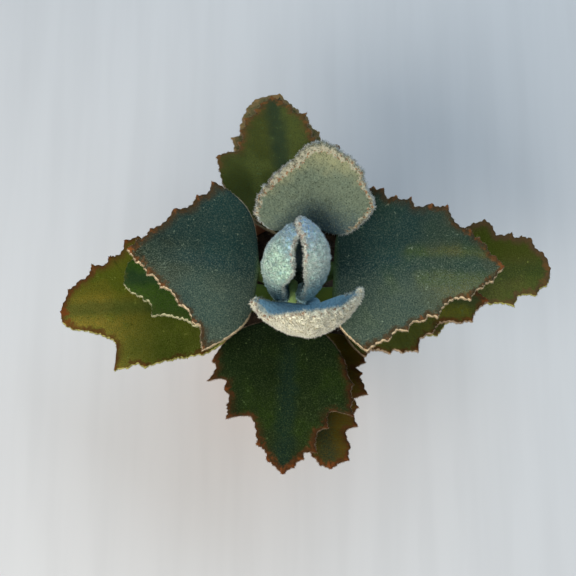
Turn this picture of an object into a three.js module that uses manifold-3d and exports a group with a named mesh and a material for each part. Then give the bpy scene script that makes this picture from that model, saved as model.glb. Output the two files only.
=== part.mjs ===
// A young felt-leaved kalanchoe in a plain terracotta pot: seven crossed pairs of lobed leaves
// on a short stem.
// Millimetres and degrees, +Z up. The pot stands on z = 0.
import * as THREE from 'three';
import { mergeVertices } from 'three/addons/utils/BufferGeometryUtils.js';
import Module from 'manifold-3d';

const wasm = await Module();
wasm.setup();

// Clearance between pieces that touch on the real plant
const GAP = 0.3;

// Pot: an 8 cm terracotta pot with a rim band and one drain hole
const POT = {
  height: 74, rimRadius: 41, rimHeight: 17, rimStep: 2.6, rimDraft: 0.8, rimRise: 0.5,
  footRadius: 28.5, wall: 4.2, floor: 5, drainRadius: 6, lip: 1.2, sides: 48,
};

// Soil: its surface lies below the rim and rises a little to the stem
const SOIL = { top: 64.5, mound: 2.2, shoulder: 0.5, shoulderRise: 0.7, sides: 48 };

// Stem: from the root crown to the growing tip, leaning slightly to the front
const STEM = {
  low: [0.4, 0, 52], high: [-2, -14.2, 114.5], lowRadius: 7.2, highRadius: 3.4,
  crown: 3, closing: 0.12, sides: 12, rings: 9,
};

// Roots: each leaves the crown at a bearing, runs out and down, and thins to its end
const ROOTS = {
  crown: 56, reach: 17, fall: 34, bendReach: 15.3, bendFall: 5.1,
  radius: 2.3, endRadius: 0.9, sides: 5, rings: 4,
};
const ROOT_BEARINGS = [20, 92, 165, 238, 305];

// Leaf mesh: columns on each side of the midrib, and steps on each stretch of margin
const COLUMN_FRACTIONS = [0, 0.42, 0.8, 1];
const MARGIN_STEPS = 4;
// Leaf stalk: its widths and flatness are shares of the stalk radius, its bends shares of its span
const STALK = {
  rings: 5, startWidth: 1.12, endWidth: 1.05, bladeWidth: 1.15, flatness: 0.92, halfTurn: 80,
  leave: 0.4, rise: 0.12, arrive: 0.36,
};
// Blade thickness: it swells into the stalk over a few millimetres and thins towards the margin
const SWELL = { share: 0.8, fade: 6 };
const THINNING = { edge: 0.22, across: 0.92 };
// Side veins run forward, so a row leaves the midrib this far back for each millimetre of blade width
const VEIN_SLANT = 0.45;
// A sinus is deepest near the tooth on its stem side
const SINUS_SKEW = 0.62;
const TIP_HALF_WIDTH = 0.8;

// Soft fangs under the grown blades: length, radius at the foot, and places along and across the blade
const FANG = { length: 3.4, radius: 1.5, taper: 0.8, sides: 5, sunk: 0.8 };
const FANG_PLACES = [[0.24, 0.42], [0.24, -0.42], [0.42, 0.3], [0.45, -0.34], [0.62, 0.2], [0.66, -0.22]];

// Each leaf: the stem height it grows from, the foot of its blade, and how the blade is set and bent.
// Its margins list tooth tips as [along, across, sag]: the margin before a tooth dips in by the sag, or
// swells out where the sag is negative. The last entry is the leaf tip.
const LEAVES = {
  bud_leaf_left: {
    node: 111, foot: [-7.4, -13.5, 120], azimuth: 176, pitch: 51, bend: 94, roll: 28, keel: 5, cup: 5.4,
    wave: [0.2, 14, 0], thick: 2.9, stalk: 2, color: 0xb9c8a4,
    left: [[13, 12.5, -2.5], [26, 16.5, -0.8], [35, 12, -1.2], [39.5, 0, -1.4]],
    right: [[13, 12.5, -2.5], [25, 14, -0.8], [34, 10.5, -1.2], [39.5, 0, -1.4]],
  },
  bud_leaf_right: {
    node: 111, foot: [4.2, -13.5, 120], azimuth: 3, pitch: 46, bend: 92, roll: -30, keel: 5, cup: 5.4,
    wave: [0.2, 15, 60], thick: 2.9, stalk: 2, color: 0xb6c7a6,
    left: [[13, 12, -2.5], [25, 13.5, -0.8], [35, 8.5, -1], [42, 0, -0.6]],
    right: [[13, 12, -2.5], [25, 15.5, -0.8], [35, 9.5, -1], [42, 0, -0.6]],
  },
  young_leaf_back: {
    node: 107.5, foot: [4, 10.5, 133], azimuth: 78, pitch: 38, bend: 10, roll: 0, keel: 8, cup: 1,
    wave: [0.5, 18, 40], thick: 3.2, stalk: 2.6, color: 0x9fb39a,
    left: [[3, 22.5, -6], [13, 20, 0.6], [21, 14, 0.6], [28, 8, 0.5], [34, 0, -1.5]],
    right: [[6, 21, -4], [16, 25.5, -0.4], [24, 20, 0.5], [31, 12, -0.5], [34, 0, -1.5]],
  },
  young_leaf_front: {
    node: 107.5, foot: [5, -21.6, 122.5], azimuth: 278, pitch: 24, bend: 86, roll: 9, keel: 9, cup: 1.9,
    wave: [0.5, 16, 0], thick: 3.2, stalk: 2.6, color: 0xc3cdb4,
    left: [[12, 21, -2.5], [20, 25, 0.5], [29, 20, 0.5], [36, 11, 0.5], [40, 0, -1]],
    right: [[12, 22, -4.2], [20, 26.5, 0.5], [29, 21, 0.5], [36, 11, 0.5], [40, 0, -1]],
  },
  large_leaf_left: {
    node: 101, foot: [-16.9, -4.4, 117], azimuth: 173.8, pitch: 28, bend: -30, roll: 0, keel: 6, cup: 0.3,
    wave: [0.9, 34, 20], thick: 3.6, stalk: 3.2, color: 0x8fa39a,
    left: [[19, 37, -6.5], [25, 25, 2.5], [33, 18.5, 1.5], [41, 10.5, 1.2], [52, 0, 1]],
    right: [[24, 32, -6.5], [29, 25, 2.5], [37, 18, 2], [45, 8.5, 1.6], [52, 0, 1]],
  },
  large_leaf_right: {
    node: 101, foot: [15.3, -4, 117], azimuth: -0.5, pitch: 22, bend: -34, roll: 0, keel: 5, cup: 0.25,
    wave: [0.9, 38, 200], thick: 3.6, stalk: 3.2, color: 0x8c9c8c,
    left: [[20, 32, -6], [32, 27.5, 3], [45, 24.5, 2], [55, 14, 3], [67, 0, 0.4]],
    right: [[13, 34, -6.5], [28, 28.5, 1.5], [40, 22.5, 2], [53, 14, 3], [67, 0, 0.4]],
  },
  large_leaf_back: {
    node: 93, foot: [-2.5, 17.5, 104], azimuth: 98, pitch: 12, bend: -30, roll: 0, keel: 5, cup: 0.2,
    wave: [0.8, 36, 90], thick: 3.6, stalk: 3.3, color: 0x747a58,
    left: [[34, 28, -9], [37, 18, -0.8], [54, 14, 1.5], [59, 7, 1], [62, 0, 0.4]],
    right: [[30, 27, -8], [43, 16, 4], [51, 13, 2], [57, 7.5, 2], [62, 0, 0.8]],
  },
  large_leaf_front: {
    node: 93, foot: [-3, -22, 104], azimuth: 267, pitch: 12, bend: -32, roll: 0, keel: 5, cup: 0.2,
    wave: [0.8, 36, 10], thick: 3.6, stalk: 3.3, color: 0x6c7050,
    left: [[22, 25, -5], [38, 27.5, 1.5], [53, 13.5, 5.5], [59, 5, 1.5], [62, 0, 0.4]],
    right: [[27, 31.5, -8], [41, 23, 5.5], [54, 9.5, 6], [59.5, 4.5, 1], [62, 0, 0.2]],
  },
  middle_leaf_left: {
    node: 85, foot: [-21, -7, 95], azimuth: 174, pitch: 15, bend: -25, roll: 0, keel: 5, cup: 0.2,
    wave: [0.7, 30, 150], thick: 3.4, stalk: 3.3, color: 0x4f5e3c,
    left: [[10, 22, -5], [22, 18, 2], [38, 15.5, 1.5], [41, 9.5, 1.5], [52, 0, -1.2]],
    right: [[12, 24, -6], [24, 19, 3], [35, 14, 2], [46, 8, 1.8], [52, 0, -1]],
  },
  middle_leaf_right: {
    node: 85, foot: [19, -8, 92], azimuth: -3, pitch: 15, bend: -25, roll: 0, keel: 5, cup: 0.2,
    wave: [0.7, 34, 260], thick: 3.4, stalk: 3.3, color: 0x596545,
    left: [[14, 24, -6], [28, 21, 2.5], [42, 15, 2.5], [54, 7, 1.5], [61, 0, 0]],
    right: [[12, 26, -5], [22, 26, 1.5], [32, 24.5, 1.5], [54, 9.5, 4.5], [61, 0, 0.5]],
  },
  lower_leaf_back: {
    node: 78, foot: [-1, 20, 86], azimuth: 96, pitch: 12, bend: -20, roll: 0, keel: 5, cup: 0.2,
    wave: [0.6, 33, 0], thick: 3.3, stalk: 3.3, color: 0x5b6340,
    left: [[28, 26, -6], [46, 23, 2], [55, 14, 3], [61, 7, 1.5], [65, 0, -0.5]],
    right: [[26, 26, -6], [38, 23, 2], [46, 14.5, 3], [56, 7, 2], [65, 0, 0]],
  },
  lower_leaf_front: {
    node: 78, foot: [2, -26, 86], azimuth: 282, pitch: 12, bend: -20, roll: 0, keel: 5, cup: 0.2,
    wave: [0.6, 30, 120], thick: 3.3, stalk: 3.3, color: 0x6d6c45,
    left: [[12, 26, -5], [29, 21, 3], [41, 14, 3.5], [53, 8, 3.5], [55.5, 0, 0.4]],
    right: [[14, 24, -6], [28, 19, 3], [40, 12, 2.5], [49, 6, 1.5], [55.5, 0, 0.4]],
  },
  lowest_leaf_left: {
    node: 71, foot: [-30, -9, 80], azimuth: 183, pitch: 12, bend: -22, roll: 0, keel: 4, cup: 0.2,
    wave: [0.7, 40, 70], thick: 3.2, stalk: 3.4, color: 0x8b9350,
    left: [[12, 22, -5], [36, 28, 1], [48, 27.5, 1.5], [70, 6, 8], [72, 0, -0.4]],
    right: [[38, 30.5, -6], [51, 22, 3], [58, 18.5, 1.5], [68, 9.5, 2.5], [72, 0, -1]],
  },
  lowest_leaf_right: {
    node: 71, foot: [27, -5, 80], azimuth: 8, pitch: 12, bend: -22, roll: 0, keel: 4, cup: 0.2,
    wave: [0.7, 42, 310], thick: 3.2, stalk: 3.4, color: 0x87904e,
    left: [[36, 27, -6], [58, 24.5, 2.5], [70, 17.5, 3], [78, 14, 1], [84, 0, -1.5]],
    right: [[30, 24, -6], [55, 13, 3.5], [64, 15, 1.5], [80, 7.5, 3], [84, 0, -1]],
  },
};
const UNFANGED = ['bud_leaf_left', 'bud_leaf_right', 'young_leaf_back', 'young_leaf_front'];

const radians = THREE.MathUtils.degToRad;
const UP = new THREE.Vector3(0, 0, 1);

function vector(list) {
  return new THREE.Vector3(...list);
}

const STEM_DIRECTION = vector(STEM.high).sub(vector(STEM.low)).normalize();

// Joins rings of equal length into one closed body and caps both ends
function skin(rings) {
  const count = rings[0].length;
  const positions = rings.flat().flatMap((point) => point.toArray());
  const index = [];
  for (let row = 0; row < rings.length - 1; row++) {
    for (let k = 0; k < count; k++) {
      const a = row * count + k;
      const b = row * count + (k + 1) % count;
      index.push(a, b, b + count, a, b + count, a + count);
    }
  }
  const last = (rings.length - 1) * count;
  for (let k = 1; k < count - 1; k++) {
    index.push(0, k + 1, k, last, last + k, last + k + 1);
  }
  const geometry = new THREE.BufferGeometry();
  geometry.setAttribute('position', new THREE.Float32BufferAttribute(positions, 3));
  geometry.setIndex(index);
  return geometry;
}

// Turns a closed geometry into a solid that can be joined and cut
function solidFrom(geometry) {
  const bare = geometry.clone();
  bare.deleteAttribute('normal');
  bare.deleteAttribute('uv');
  const merged = mergeVertices(bare, 1e-4);
  return new wasm.Manifold(new wasm.Mesh({
    numProp: 3,
    vertProperties: new Float32Array(merged.attributes.position.array),
    triVerts: new Uint32Array(merged.index.array),
  }));
}

function geometryFrom(solid) {
  const mesh = solid.getMesh();
  const geometry = new THREE.BufferGeometry();
  geometry.setAttribute('position', new THREE.Float32BufferAttribute(mesh.vertProperties, 3));
  geometry.setIndex([...mesh.triVerts]);
  return geometry;
}

// A tapering round body along a curve, with its radius given at each fraction of the way
function taperedBody(curve, radiusAt, ringCount, sides) {
  const rings = [];
  for (let row = 0; row <= ringCount; row++) {
    const t = row / ringCount;
    const centre = curve.getPoint(t);
    const tangent = curve.getTangent(t);
    const across = new THREE.Vector3(1, 0.2, 0).cross(tangent).normalize();
    const other = tangent.clone().cross(across);
    const ring = [];
    for (let k = 0; k < sides; k++) {
      const angle = 2 * Math.PI * k / sides;
      const point = centre.clone().addScaledVector(across, radiusAt(t) * Math.cos(angle));
      ring.push(point.addScaledVector(other, radiusAt(t) * Math.sin(angle)));
    }
    rings.push(ring);
  }
  return skin(rings);
}

// Stem

function stemFraction(z) {
  return (z - STEM.low[2]) / (STEM.high[2] - STEM.low[2]);
}

function stemCentre(z) {
  return vector(STEM.low).lerp(vector(STEM.high), stemFraction(z));
}

// The stem tapers evenly and closes over its growing tip
function stemRadius(z) {
  const closing = Math.sqrt(THREE.MathUtils.clamp((STEM.high[2] - z) / STEM.crown, STEM.closing, 1));
  return THREE.MathUtils.lerp(STEM.lowRadius, STEM.highRadius, stemFraction(z)) * closing;
}

// The stem and its roots as one solid, swollen by a clearance for the hollow they need in the soil
function stemAndRoots(clearance) {
  const low = vector(STEM.low).addScaledVector(STEM_DIRECTION, -clearance);
  const axis = new THREE.LineCurve3(low, vector(STEM.high));
  const stemRadiusAt = (t) => clearance + stemRadius(THREE.MathUtils.lerp(low.z, STEM.high[2], t));
  let solid = solidFrom(taperedBody(axis, stemRadiusAt, STEM.rings, STEM.sides));
  for (const bearing of ROOT_BEARINGS) {
    const start = stemCentre(ROOTS.crown);
    const out = new THREE.Vector3(Math.cos(radians(bearing)), Math.sin(radians(bearing)), 0);
    const bendPoint = start.clone().addScaledVector(out, ROOTS.bendReach);
    bendPoint.addScaledVector(UP, -ROOTS.bendFall);
    const end = start.clone().addScaledVector(out, ROOTS.reach).addScaledVector(UP, -ROOTS.fall);
    end.addScaledVector(end.clone().sub(bendPoint).normalize(), clearance);
    const curve = new THREE.QuadraticBezierCurve3(start, bendPoint, end);
    const radiusAt = (t) => clearance + THREE.MathUtils.lerp(ROOTS.radius, ROOTS.endRadius, t);
    solid = solid.add(solidFrom(taperedBody(curve, radiusAt, ROOTS.rings, ROOTS.sides)));
  }
  return solid;
}

// Pot and soil

function potInnerRadius(z) {
  const outer = THREE.MathUtils.lerp(POT.footRadius, POT.rimRadius - POT.rimStep, z / POT.height);
  return outer - POT.wall;
}

function potGeometry() {
  const bandFoot = POT.height - POT.rimHeight;
  const bodyTopRadius = potInnerRadius(bandFoot) + POT.wall;
  const innerFoot = potInnerRadius(POT.floor + POT.lip);
  const innerTop = potInnerRadius(POT.height - POT.lip);
  const profile = [
    [POT.drainRadius, 0], [POT.footRadius - POT.lip, 0], [POT.footRadius, POT.lip],
    [bodyTopRadius, bandFoot], [POT.rimRadius - POT.rimDraft, bandFoot + POT.rimRise],
    [POT.rimRadius, POT.height - POT.lip], [POT.rimRadius - POT.lip, POT.height],
    [innerTop + POT.lip, POT.height], [innerTop, POT.height - POT.lip],
    [innerFoot, POT.floor + POT.lip], [innerFoot - POT.lip, POT.floor],
    [POT.drainRadius, POT.floor], [POT.drainRadius, 0],
  ].map(([radius, z]) => new THREE.Vector2(radius, z));
  return new THREE.LatheGeometry(profile, POT.sides).rotateX(Math.PI / 2);
}

function soilSolid() {
  const low = POT.floor + GAP;
  const wallRadius = (z) => potInnerRadius(z) - GAP;
  const profile = [
    [0, low], [wallRadius(low) - POT.lip - GAP, low], [wallRadius(low + POT.lip + GAP), low + POT.lip + GAP],
    [wallRadius(SOIL.top), SOIL.top],
    [wallRadius(SOIL.top) * SOIL.shoulder, SOIL.top + SOIL.mound * SOIL.shoulderRise],
    [0, SOIL.top + SOIL.mound],
  ].map(([radius, z]) => new THREE.Vector2(radius, z));
  const block = solidFrom(new THREE.LatheGeometry(profile, SOIL.sides).rotateX(Math.PI / 2));
  return block.subtract(stemAndRoots(GAP));
}

// Leaves

// A leaf's own directions: outward, to its left, and up, rolled about the outward one
function leafFrame(leaf) {
  const angle = radians(leaf.azimuth);
  const along = new THREE.Vector3(Math.cos(angle), Math.sin(angle), 0);
  const level = new THREE.Vector3(-Math.sin(angle), Math.cos(angle), 0);
  const roll = radians(leaf.roll);
  const across = level.clone().multiplyScalar(Math.cos(roll)).addScaledVector(UP, Math.sin(roll));
  return { along, across, up: along.clone().cross(across) };
}

function leafLength(leaf) {
  return leaf.left.at(-1)[0];
}

// The blade surface at u along and v across, lifted off its middle sheet by a height
function bladePoint(leaf, u, v, lift) {
  const { along, across, up } = leafFrame(leaf);
  const first = radians(leaf.pitch);
  const turn = radians(leaf.bend) / leafLength(leaf);
  const pitch = first + turn * u;
  const point = vector(leaf.foot);
  point.addScaledVector(along, (Math.sin(pitch) - Math.sin(first)) / turn);
  point.addScaledVector(up, (Math.cos(first) - Math.cos(pitch)) / turn);
  const normal = along.clone().multiplyScalar(-Math.sin(pitch)).addScaledVector(up, Math.cos(pitch));
  const fold = radians(leaf.keel);
  const cup = radians(leaf.cup);
  const slope = fold + cup * Math.abs(v);
  const sign = Math.sign(v);
  const [height, length, phase] = leaf.wave;
  const ripple = height * (v / 20) ** 2 * Math.sin(2 * Math.PI * u / length + radians(phase) + sign);
  point.addScaledVector(across, sign * (Math.sin(slope) - Math.sin(fold)) / cup);
  point.addScaledVector(normal, (Math.cos(fold) - Math.cos(slope)) / cup);
  point.addScaledVector(normal, (lift + ripple) * Math.cos(slope));
  return point.addScaledVector(across, -(lift + ripple) * sign * Math.sin(slope));
}

// Points on one half of the margin, from the blade's foot to the leaf tip
function marginPoints(leaf, teeth) {
  const points = [new THREE.Vector2(0, leaf.stalk * STALK.bladeWidth)];
  for (const [u, v, sag] of teeth) {
    const start = points.at(-1).clone();
    const end = new THREE.Vector2(u, Math.max(v, TIP_HALF_WIDTH));
    const chord = end.clone().sub(start);
    const inward = new THREE.Vector2(chord.y, -chord.x).normalize();
    for (let step = 1; step <= MARGIN_STEPS; step++) {
      const t = step / MARGIN_STEPS;
      const skew = sag > 0 ? SINUS_SKEW : 1;
      const dip = sag * Math.sin(Math.PI * t ** skew);
      points.push(start.clone().lerp(end, t).addScaledVector(inward, dip));
    }
  }
  return points;
}

// Where each row of the blade leaves the midrib, always moving towards the tip
function midribPlaces(leaf, left, right) {
  const length = leafLength(leaf);
  const places = [0];
  for (let row = 1; row < left.length; row++) {
    const wanted = (left[row].x + right[row].x - VEIN_SLANT * (left[row].y + right[row].y)) / 2;
    places.push(Math.max(wanted, places[row - 1] + 0.3));
  }
  places[places.length - 1] = length;
  return places;
}

// Half the blade's thickness: fullest along the midrib and near the foot, thin at the margin
function halfThickness(leaf, u, fraction) {
  const swell = SWELL.share * Math.exp(-u / SWELL.fade);
  const full = THREE.MathUtils.lerp(leaf.thick / 2, leaf.stalk, swell);
  const edge = leaf.thick * THINNING.edge;
  return edge + (full - edge) * Math.sqrt(1 - THINNING.across * fraction ** 2);
}

function bladeRings(leaf) {
  const left = marginPoints(leaf, leaf.left);
  const right = marginPoints(leaf, leaf.right);
  const places = midribPlaces(leaf, left, right);
  const columns = [
    ...COLUMN_FRACTIONS.slice(1).reverse().map((fraction) => [left, 1, fraction]),
    ...COLUMN_FRACTIONS.map((fraction) => [right, -1, fraction]),
  ];
  return places.map((place, row) => {
    const sheet = (side) => columns.map(([margin, sign, fraction]) => {
      const u = THREE.MathUtils.lerp(place, margin[row].x, fraction);
      const v = sign * fraction * margin[row].y;
      return bladePoint(leaf, u, v, side * halfThickness(leaf, u, fraction));
    });
    return [...sheet(1), ...sheet(-1).reverse()];
  });
}

// The stalk leaves the stem sideways and runs up into the foot of the blade
function stalkRings(leaf) {
  const { along, across, up } = leafFrame(leaf);
  const foot = vector(leaf.foot);
  const centre = stemCentre(leaf.node);
  const out = foot.clone().sub(centre).projectOnPlane(STEM_DIRECTION).normalize();
  const start = centre.clone().addScaledVector(out, stemRadius(leaf.node - leaf.stalk) + GAP);
  const span = start.distanceTo(foot);
  const leave = start.clone().addScaledVector(out, span * STALK.leave).addScaledVector(UP, span * STALK.rise);
  const pitch = radians(leaf.pitch);
  const arrive = foot.clone().addScaledVector(along, -span * STALK.arrive * Math.cos(pitch));
  arrive.addScaledVector(up, -span * STALK.arrive * Math.sin(pitch));
  const curve = new THREE.CubicBezierCurve3(start, leave, arrive, foot);
  const half = COLUMN_FRACTIONS.length - 1;
  const rings = [];
  for (let row = 0; row < STALK.rings; row++) {
    const t = row / STALK.rings;
    const tangent = row === 0 ? out : curve.getTangent(t);
    const side = STEM_DIRECTION.clone().cross(out).lerp(across, t).normalize();
    const normal = tangent.clone().cross(side).normalize();
    const place = curve.getPoint(t);
    const width = leaf.stalk * THREE.MathUtils.lerp(STALK.startWidth, STALK.endWidth, t);
    const ring = [];
    for (const sheet of [1, -1]) {
      for (let k = half; k >= -half; k--) {
        const angle = sheet * k / half * radians(STALK.halfTurn);
        const point = place.clone().addScaledVector(side, width * Math.sin(angle));
        ring.push(point.addScaledVector(normal, sheet * leaf.stalk * STALK.flatness * Math.cos(angle)));
      }
    }
    rings.push(ring);
  }
  return rings;
}

// A blunt soft cone standing out of the underside
function fangSolid(leaf, [alongFraction, acrossFraction]) {
  const u = alongFraction * leafLength(leaf);
  const widest = Math.max(...leaf.left.map(([, v]) => v));
  const v = acrossFraction * widest;
  const root = bladePoint(leaf, u, v, -halfThickness(leaf, u, Math.abs(acrossFraction)) + FANG.sunk);
  const end = bladePoint(leaf, u, v, -halfThickness(leaf, u, Math.abs(acrossFraction)) - FANG.length);
  const radiusAt = (t) => FANG.radius * (1 - FANG.taper * t);
  return solidFrom(taperedBody(new THREE.LineCurve3(root, end), radiusAt, 1, FANG.sides));
}

function leafSolid(name, leaf) {
  let solid = solidFrom(skin([...stalkRings(leaf), ...bladeRings(leaf)]));
  if (UNFANGED.includes(name)) return solid;
  for (const place of FANG_PLACES) {
    solid = solid.add(fangSolid(leaf, place));
  }
  return solid;
}

// The whole plant in its pot

function piece(name, geometry, color, roughness) {
  const mesh = new THREE.Mesh(geometry, new THREE.MeshStandardMaterial({ color, roughness, metalness: 0 }));
  mesh.name = name;
  return mesh;
}

const plant = new THREE.Group();
plant.add(piece('pot', potGeometry(), 0xb06a45, 0.85));
plant.add(piece('soil', geometryFrom(soilSolid()), 0x3a2c22, 0.95));
plant.add(piece('stem_and_roots', geometryFrom(stemAndRoots(0)), 0x8a7a5c, 0.9));
for (const [name, leaf] of Object.entries(LEAVES)) {
  plant.add(piece(name, geometryFrom(leafSolid(name, leaf)), leaf.color, 0.9));
}

// The origin lies on the floor, under the middle of the object's box
const box = new THREE.Box3().setFromObject(plant);
const middle = box.getCenter(new THREE.Vector3());
plant.position.set(-middle.x, -middle.y, -box.min.z);

export default plant;
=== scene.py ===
# A young felt-leaved kalanchoe in a plain terracotta pot, with its stage and camera.
# Lengths in the tables are millimetres measured from the pot's axis, angles are degrees, and
# colours are linear. +Z is up, +X is to the right of the view and +Y towards its top.
import math
import random

import bpy
from bpy.props import FloatProperty, FloatVectorProperty, IntProperty, PointerProperty
from mathutils import Matrix, Vector, kdtree, noise


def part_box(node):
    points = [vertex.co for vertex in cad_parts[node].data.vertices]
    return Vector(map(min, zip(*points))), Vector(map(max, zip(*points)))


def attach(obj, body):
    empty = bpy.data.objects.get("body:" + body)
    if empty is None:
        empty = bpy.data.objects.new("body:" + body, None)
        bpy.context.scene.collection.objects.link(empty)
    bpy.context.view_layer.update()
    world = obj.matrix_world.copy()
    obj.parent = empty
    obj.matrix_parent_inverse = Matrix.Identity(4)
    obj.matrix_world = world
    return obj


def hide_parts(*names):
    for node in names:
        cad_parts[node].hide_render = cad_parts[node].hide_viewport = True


bl_info = {
    "name": "Potted fang kalanchoe",
    "version": (1, 0, 0),
    "blender": (4, 5, 0),
    "location": "3D View > Sidebar > Kalanchoe",
    "description": "A felt-leaved kalanchoe in a terracotta pot, built around its packed frame",
    "category": "Object",
}

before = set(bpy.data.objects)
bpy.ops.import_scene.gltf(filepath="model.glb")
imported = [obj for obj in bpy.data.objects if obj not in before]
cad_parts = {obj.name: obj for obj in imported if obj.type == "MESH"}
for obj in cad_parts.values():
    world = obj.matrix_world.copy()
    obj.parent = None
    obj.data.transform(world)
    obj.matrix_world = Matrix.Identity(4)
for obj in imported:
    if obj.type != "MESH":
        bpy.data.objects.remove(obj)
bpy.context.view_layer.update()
BODY = "root"
MM = 0.001
MERGE_DISTANCE = 1e-6

POT_LOW, POT_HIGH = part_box("pot")
POT_AXIS = Vector(((POT_LOW.x + POT_HIGH.x) / 2, (POT_LOW.y + POT_HIGH.y) / 2, 0))

# Pot, soil, stem and roots, as the frame has them
POT = {
    "height": 74, "rim_radius": 41, "rim_height": 17, "rim_step": 2.6, "rim_draft": 0.8,
    "foot_radius": 28.5, "wall": 4.2, "floor": 5, "drain_radius": 6, "lip": 1.2,
}
SOIL = {"top": 64.5, "mound": 2.2, "gap": 0.3}
SOIL_RINGS = 26
SOIL_CENTRE = 0.4
CRUMB_SPREAD = 29
STEM_CLEARANCE = 1.5
STEM = {"low": (0.4, 0, 52), "high": (-2, -14.2, 114.5), "low_radius": 7.2, "high_radius": 3.4, "crown": 2,
        "tip_share": 0.55}
RIDGE_BELOW_NODE = 1.5
FALLEN_LEAF_RIDGE = 66.5
SKIN_VOXEL = 0.55
GROWING_TIP = {"low": (-2, -14.2, 110), "high": (-1.9, -10.4, 123.2), "radius": 2.1}
ROOTS = {"crown": 56, "reach": 17, "fall": 34, "bend_reach": 15.3, "bend_fall": 5.1,
         "radius": 2.3, "end_radius": 0.9}
ROOT_BEARINGS = (20, 92, 165, 238, 305)

# Shape of every leaf: see the frame's own leaves, whose middle sheets these repeat
VEIN_SLANT = 0.45
MARGIN_STEP = 0.2
TOOTH_REACH = 1.5
BETWEEN_TEETH = 0.3
KEEL_SOFTNESS = 3.5
TIP_HALF_WIDTH = 0.8
BLADE_FOOT_WIDTH = 1.15
STALK_ROWS = 34
STALK_FADE = 6
FANG_LENGTH = 3.2
FANG_LEAN = 0.9
FAR_FROM_MARGIN = 9.0
CLUMP_SIZE = 1.25
FANG_PLACES = ((0.24, 0.42), (0.24, -0.42), (0.42, 0.3), (0.45, -0.34), (0.62, 0.2), (0.66, -0.22))

# What differs between a young skin and a grown one: share of the thickness left at the margin,
# distance between side veins, and the spacing and height of small teeth against the settings
YOUNG_SKIN = {"edge": 0.19, "veins": 4.5, "tooth_spacing": 1.25, "tooth_height": 1.5}
GROWN_SKIN = {"edge": 0.13, "veins": 8.5, "tooth_spacing": 1, "tooth_height": 1}
BUD_TOOTH_SHARE = 0.4

# Entries of the leaf table that are angles, and values that it leaves out where they are the common ones
LEAF_ANGLES = ("azimuth", "pitch", "bend", "roll", "keel", "cup")
LEAF_DEFAULTS = {"roll": 0, "keel": 5, "cup": 0.2}

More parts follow.
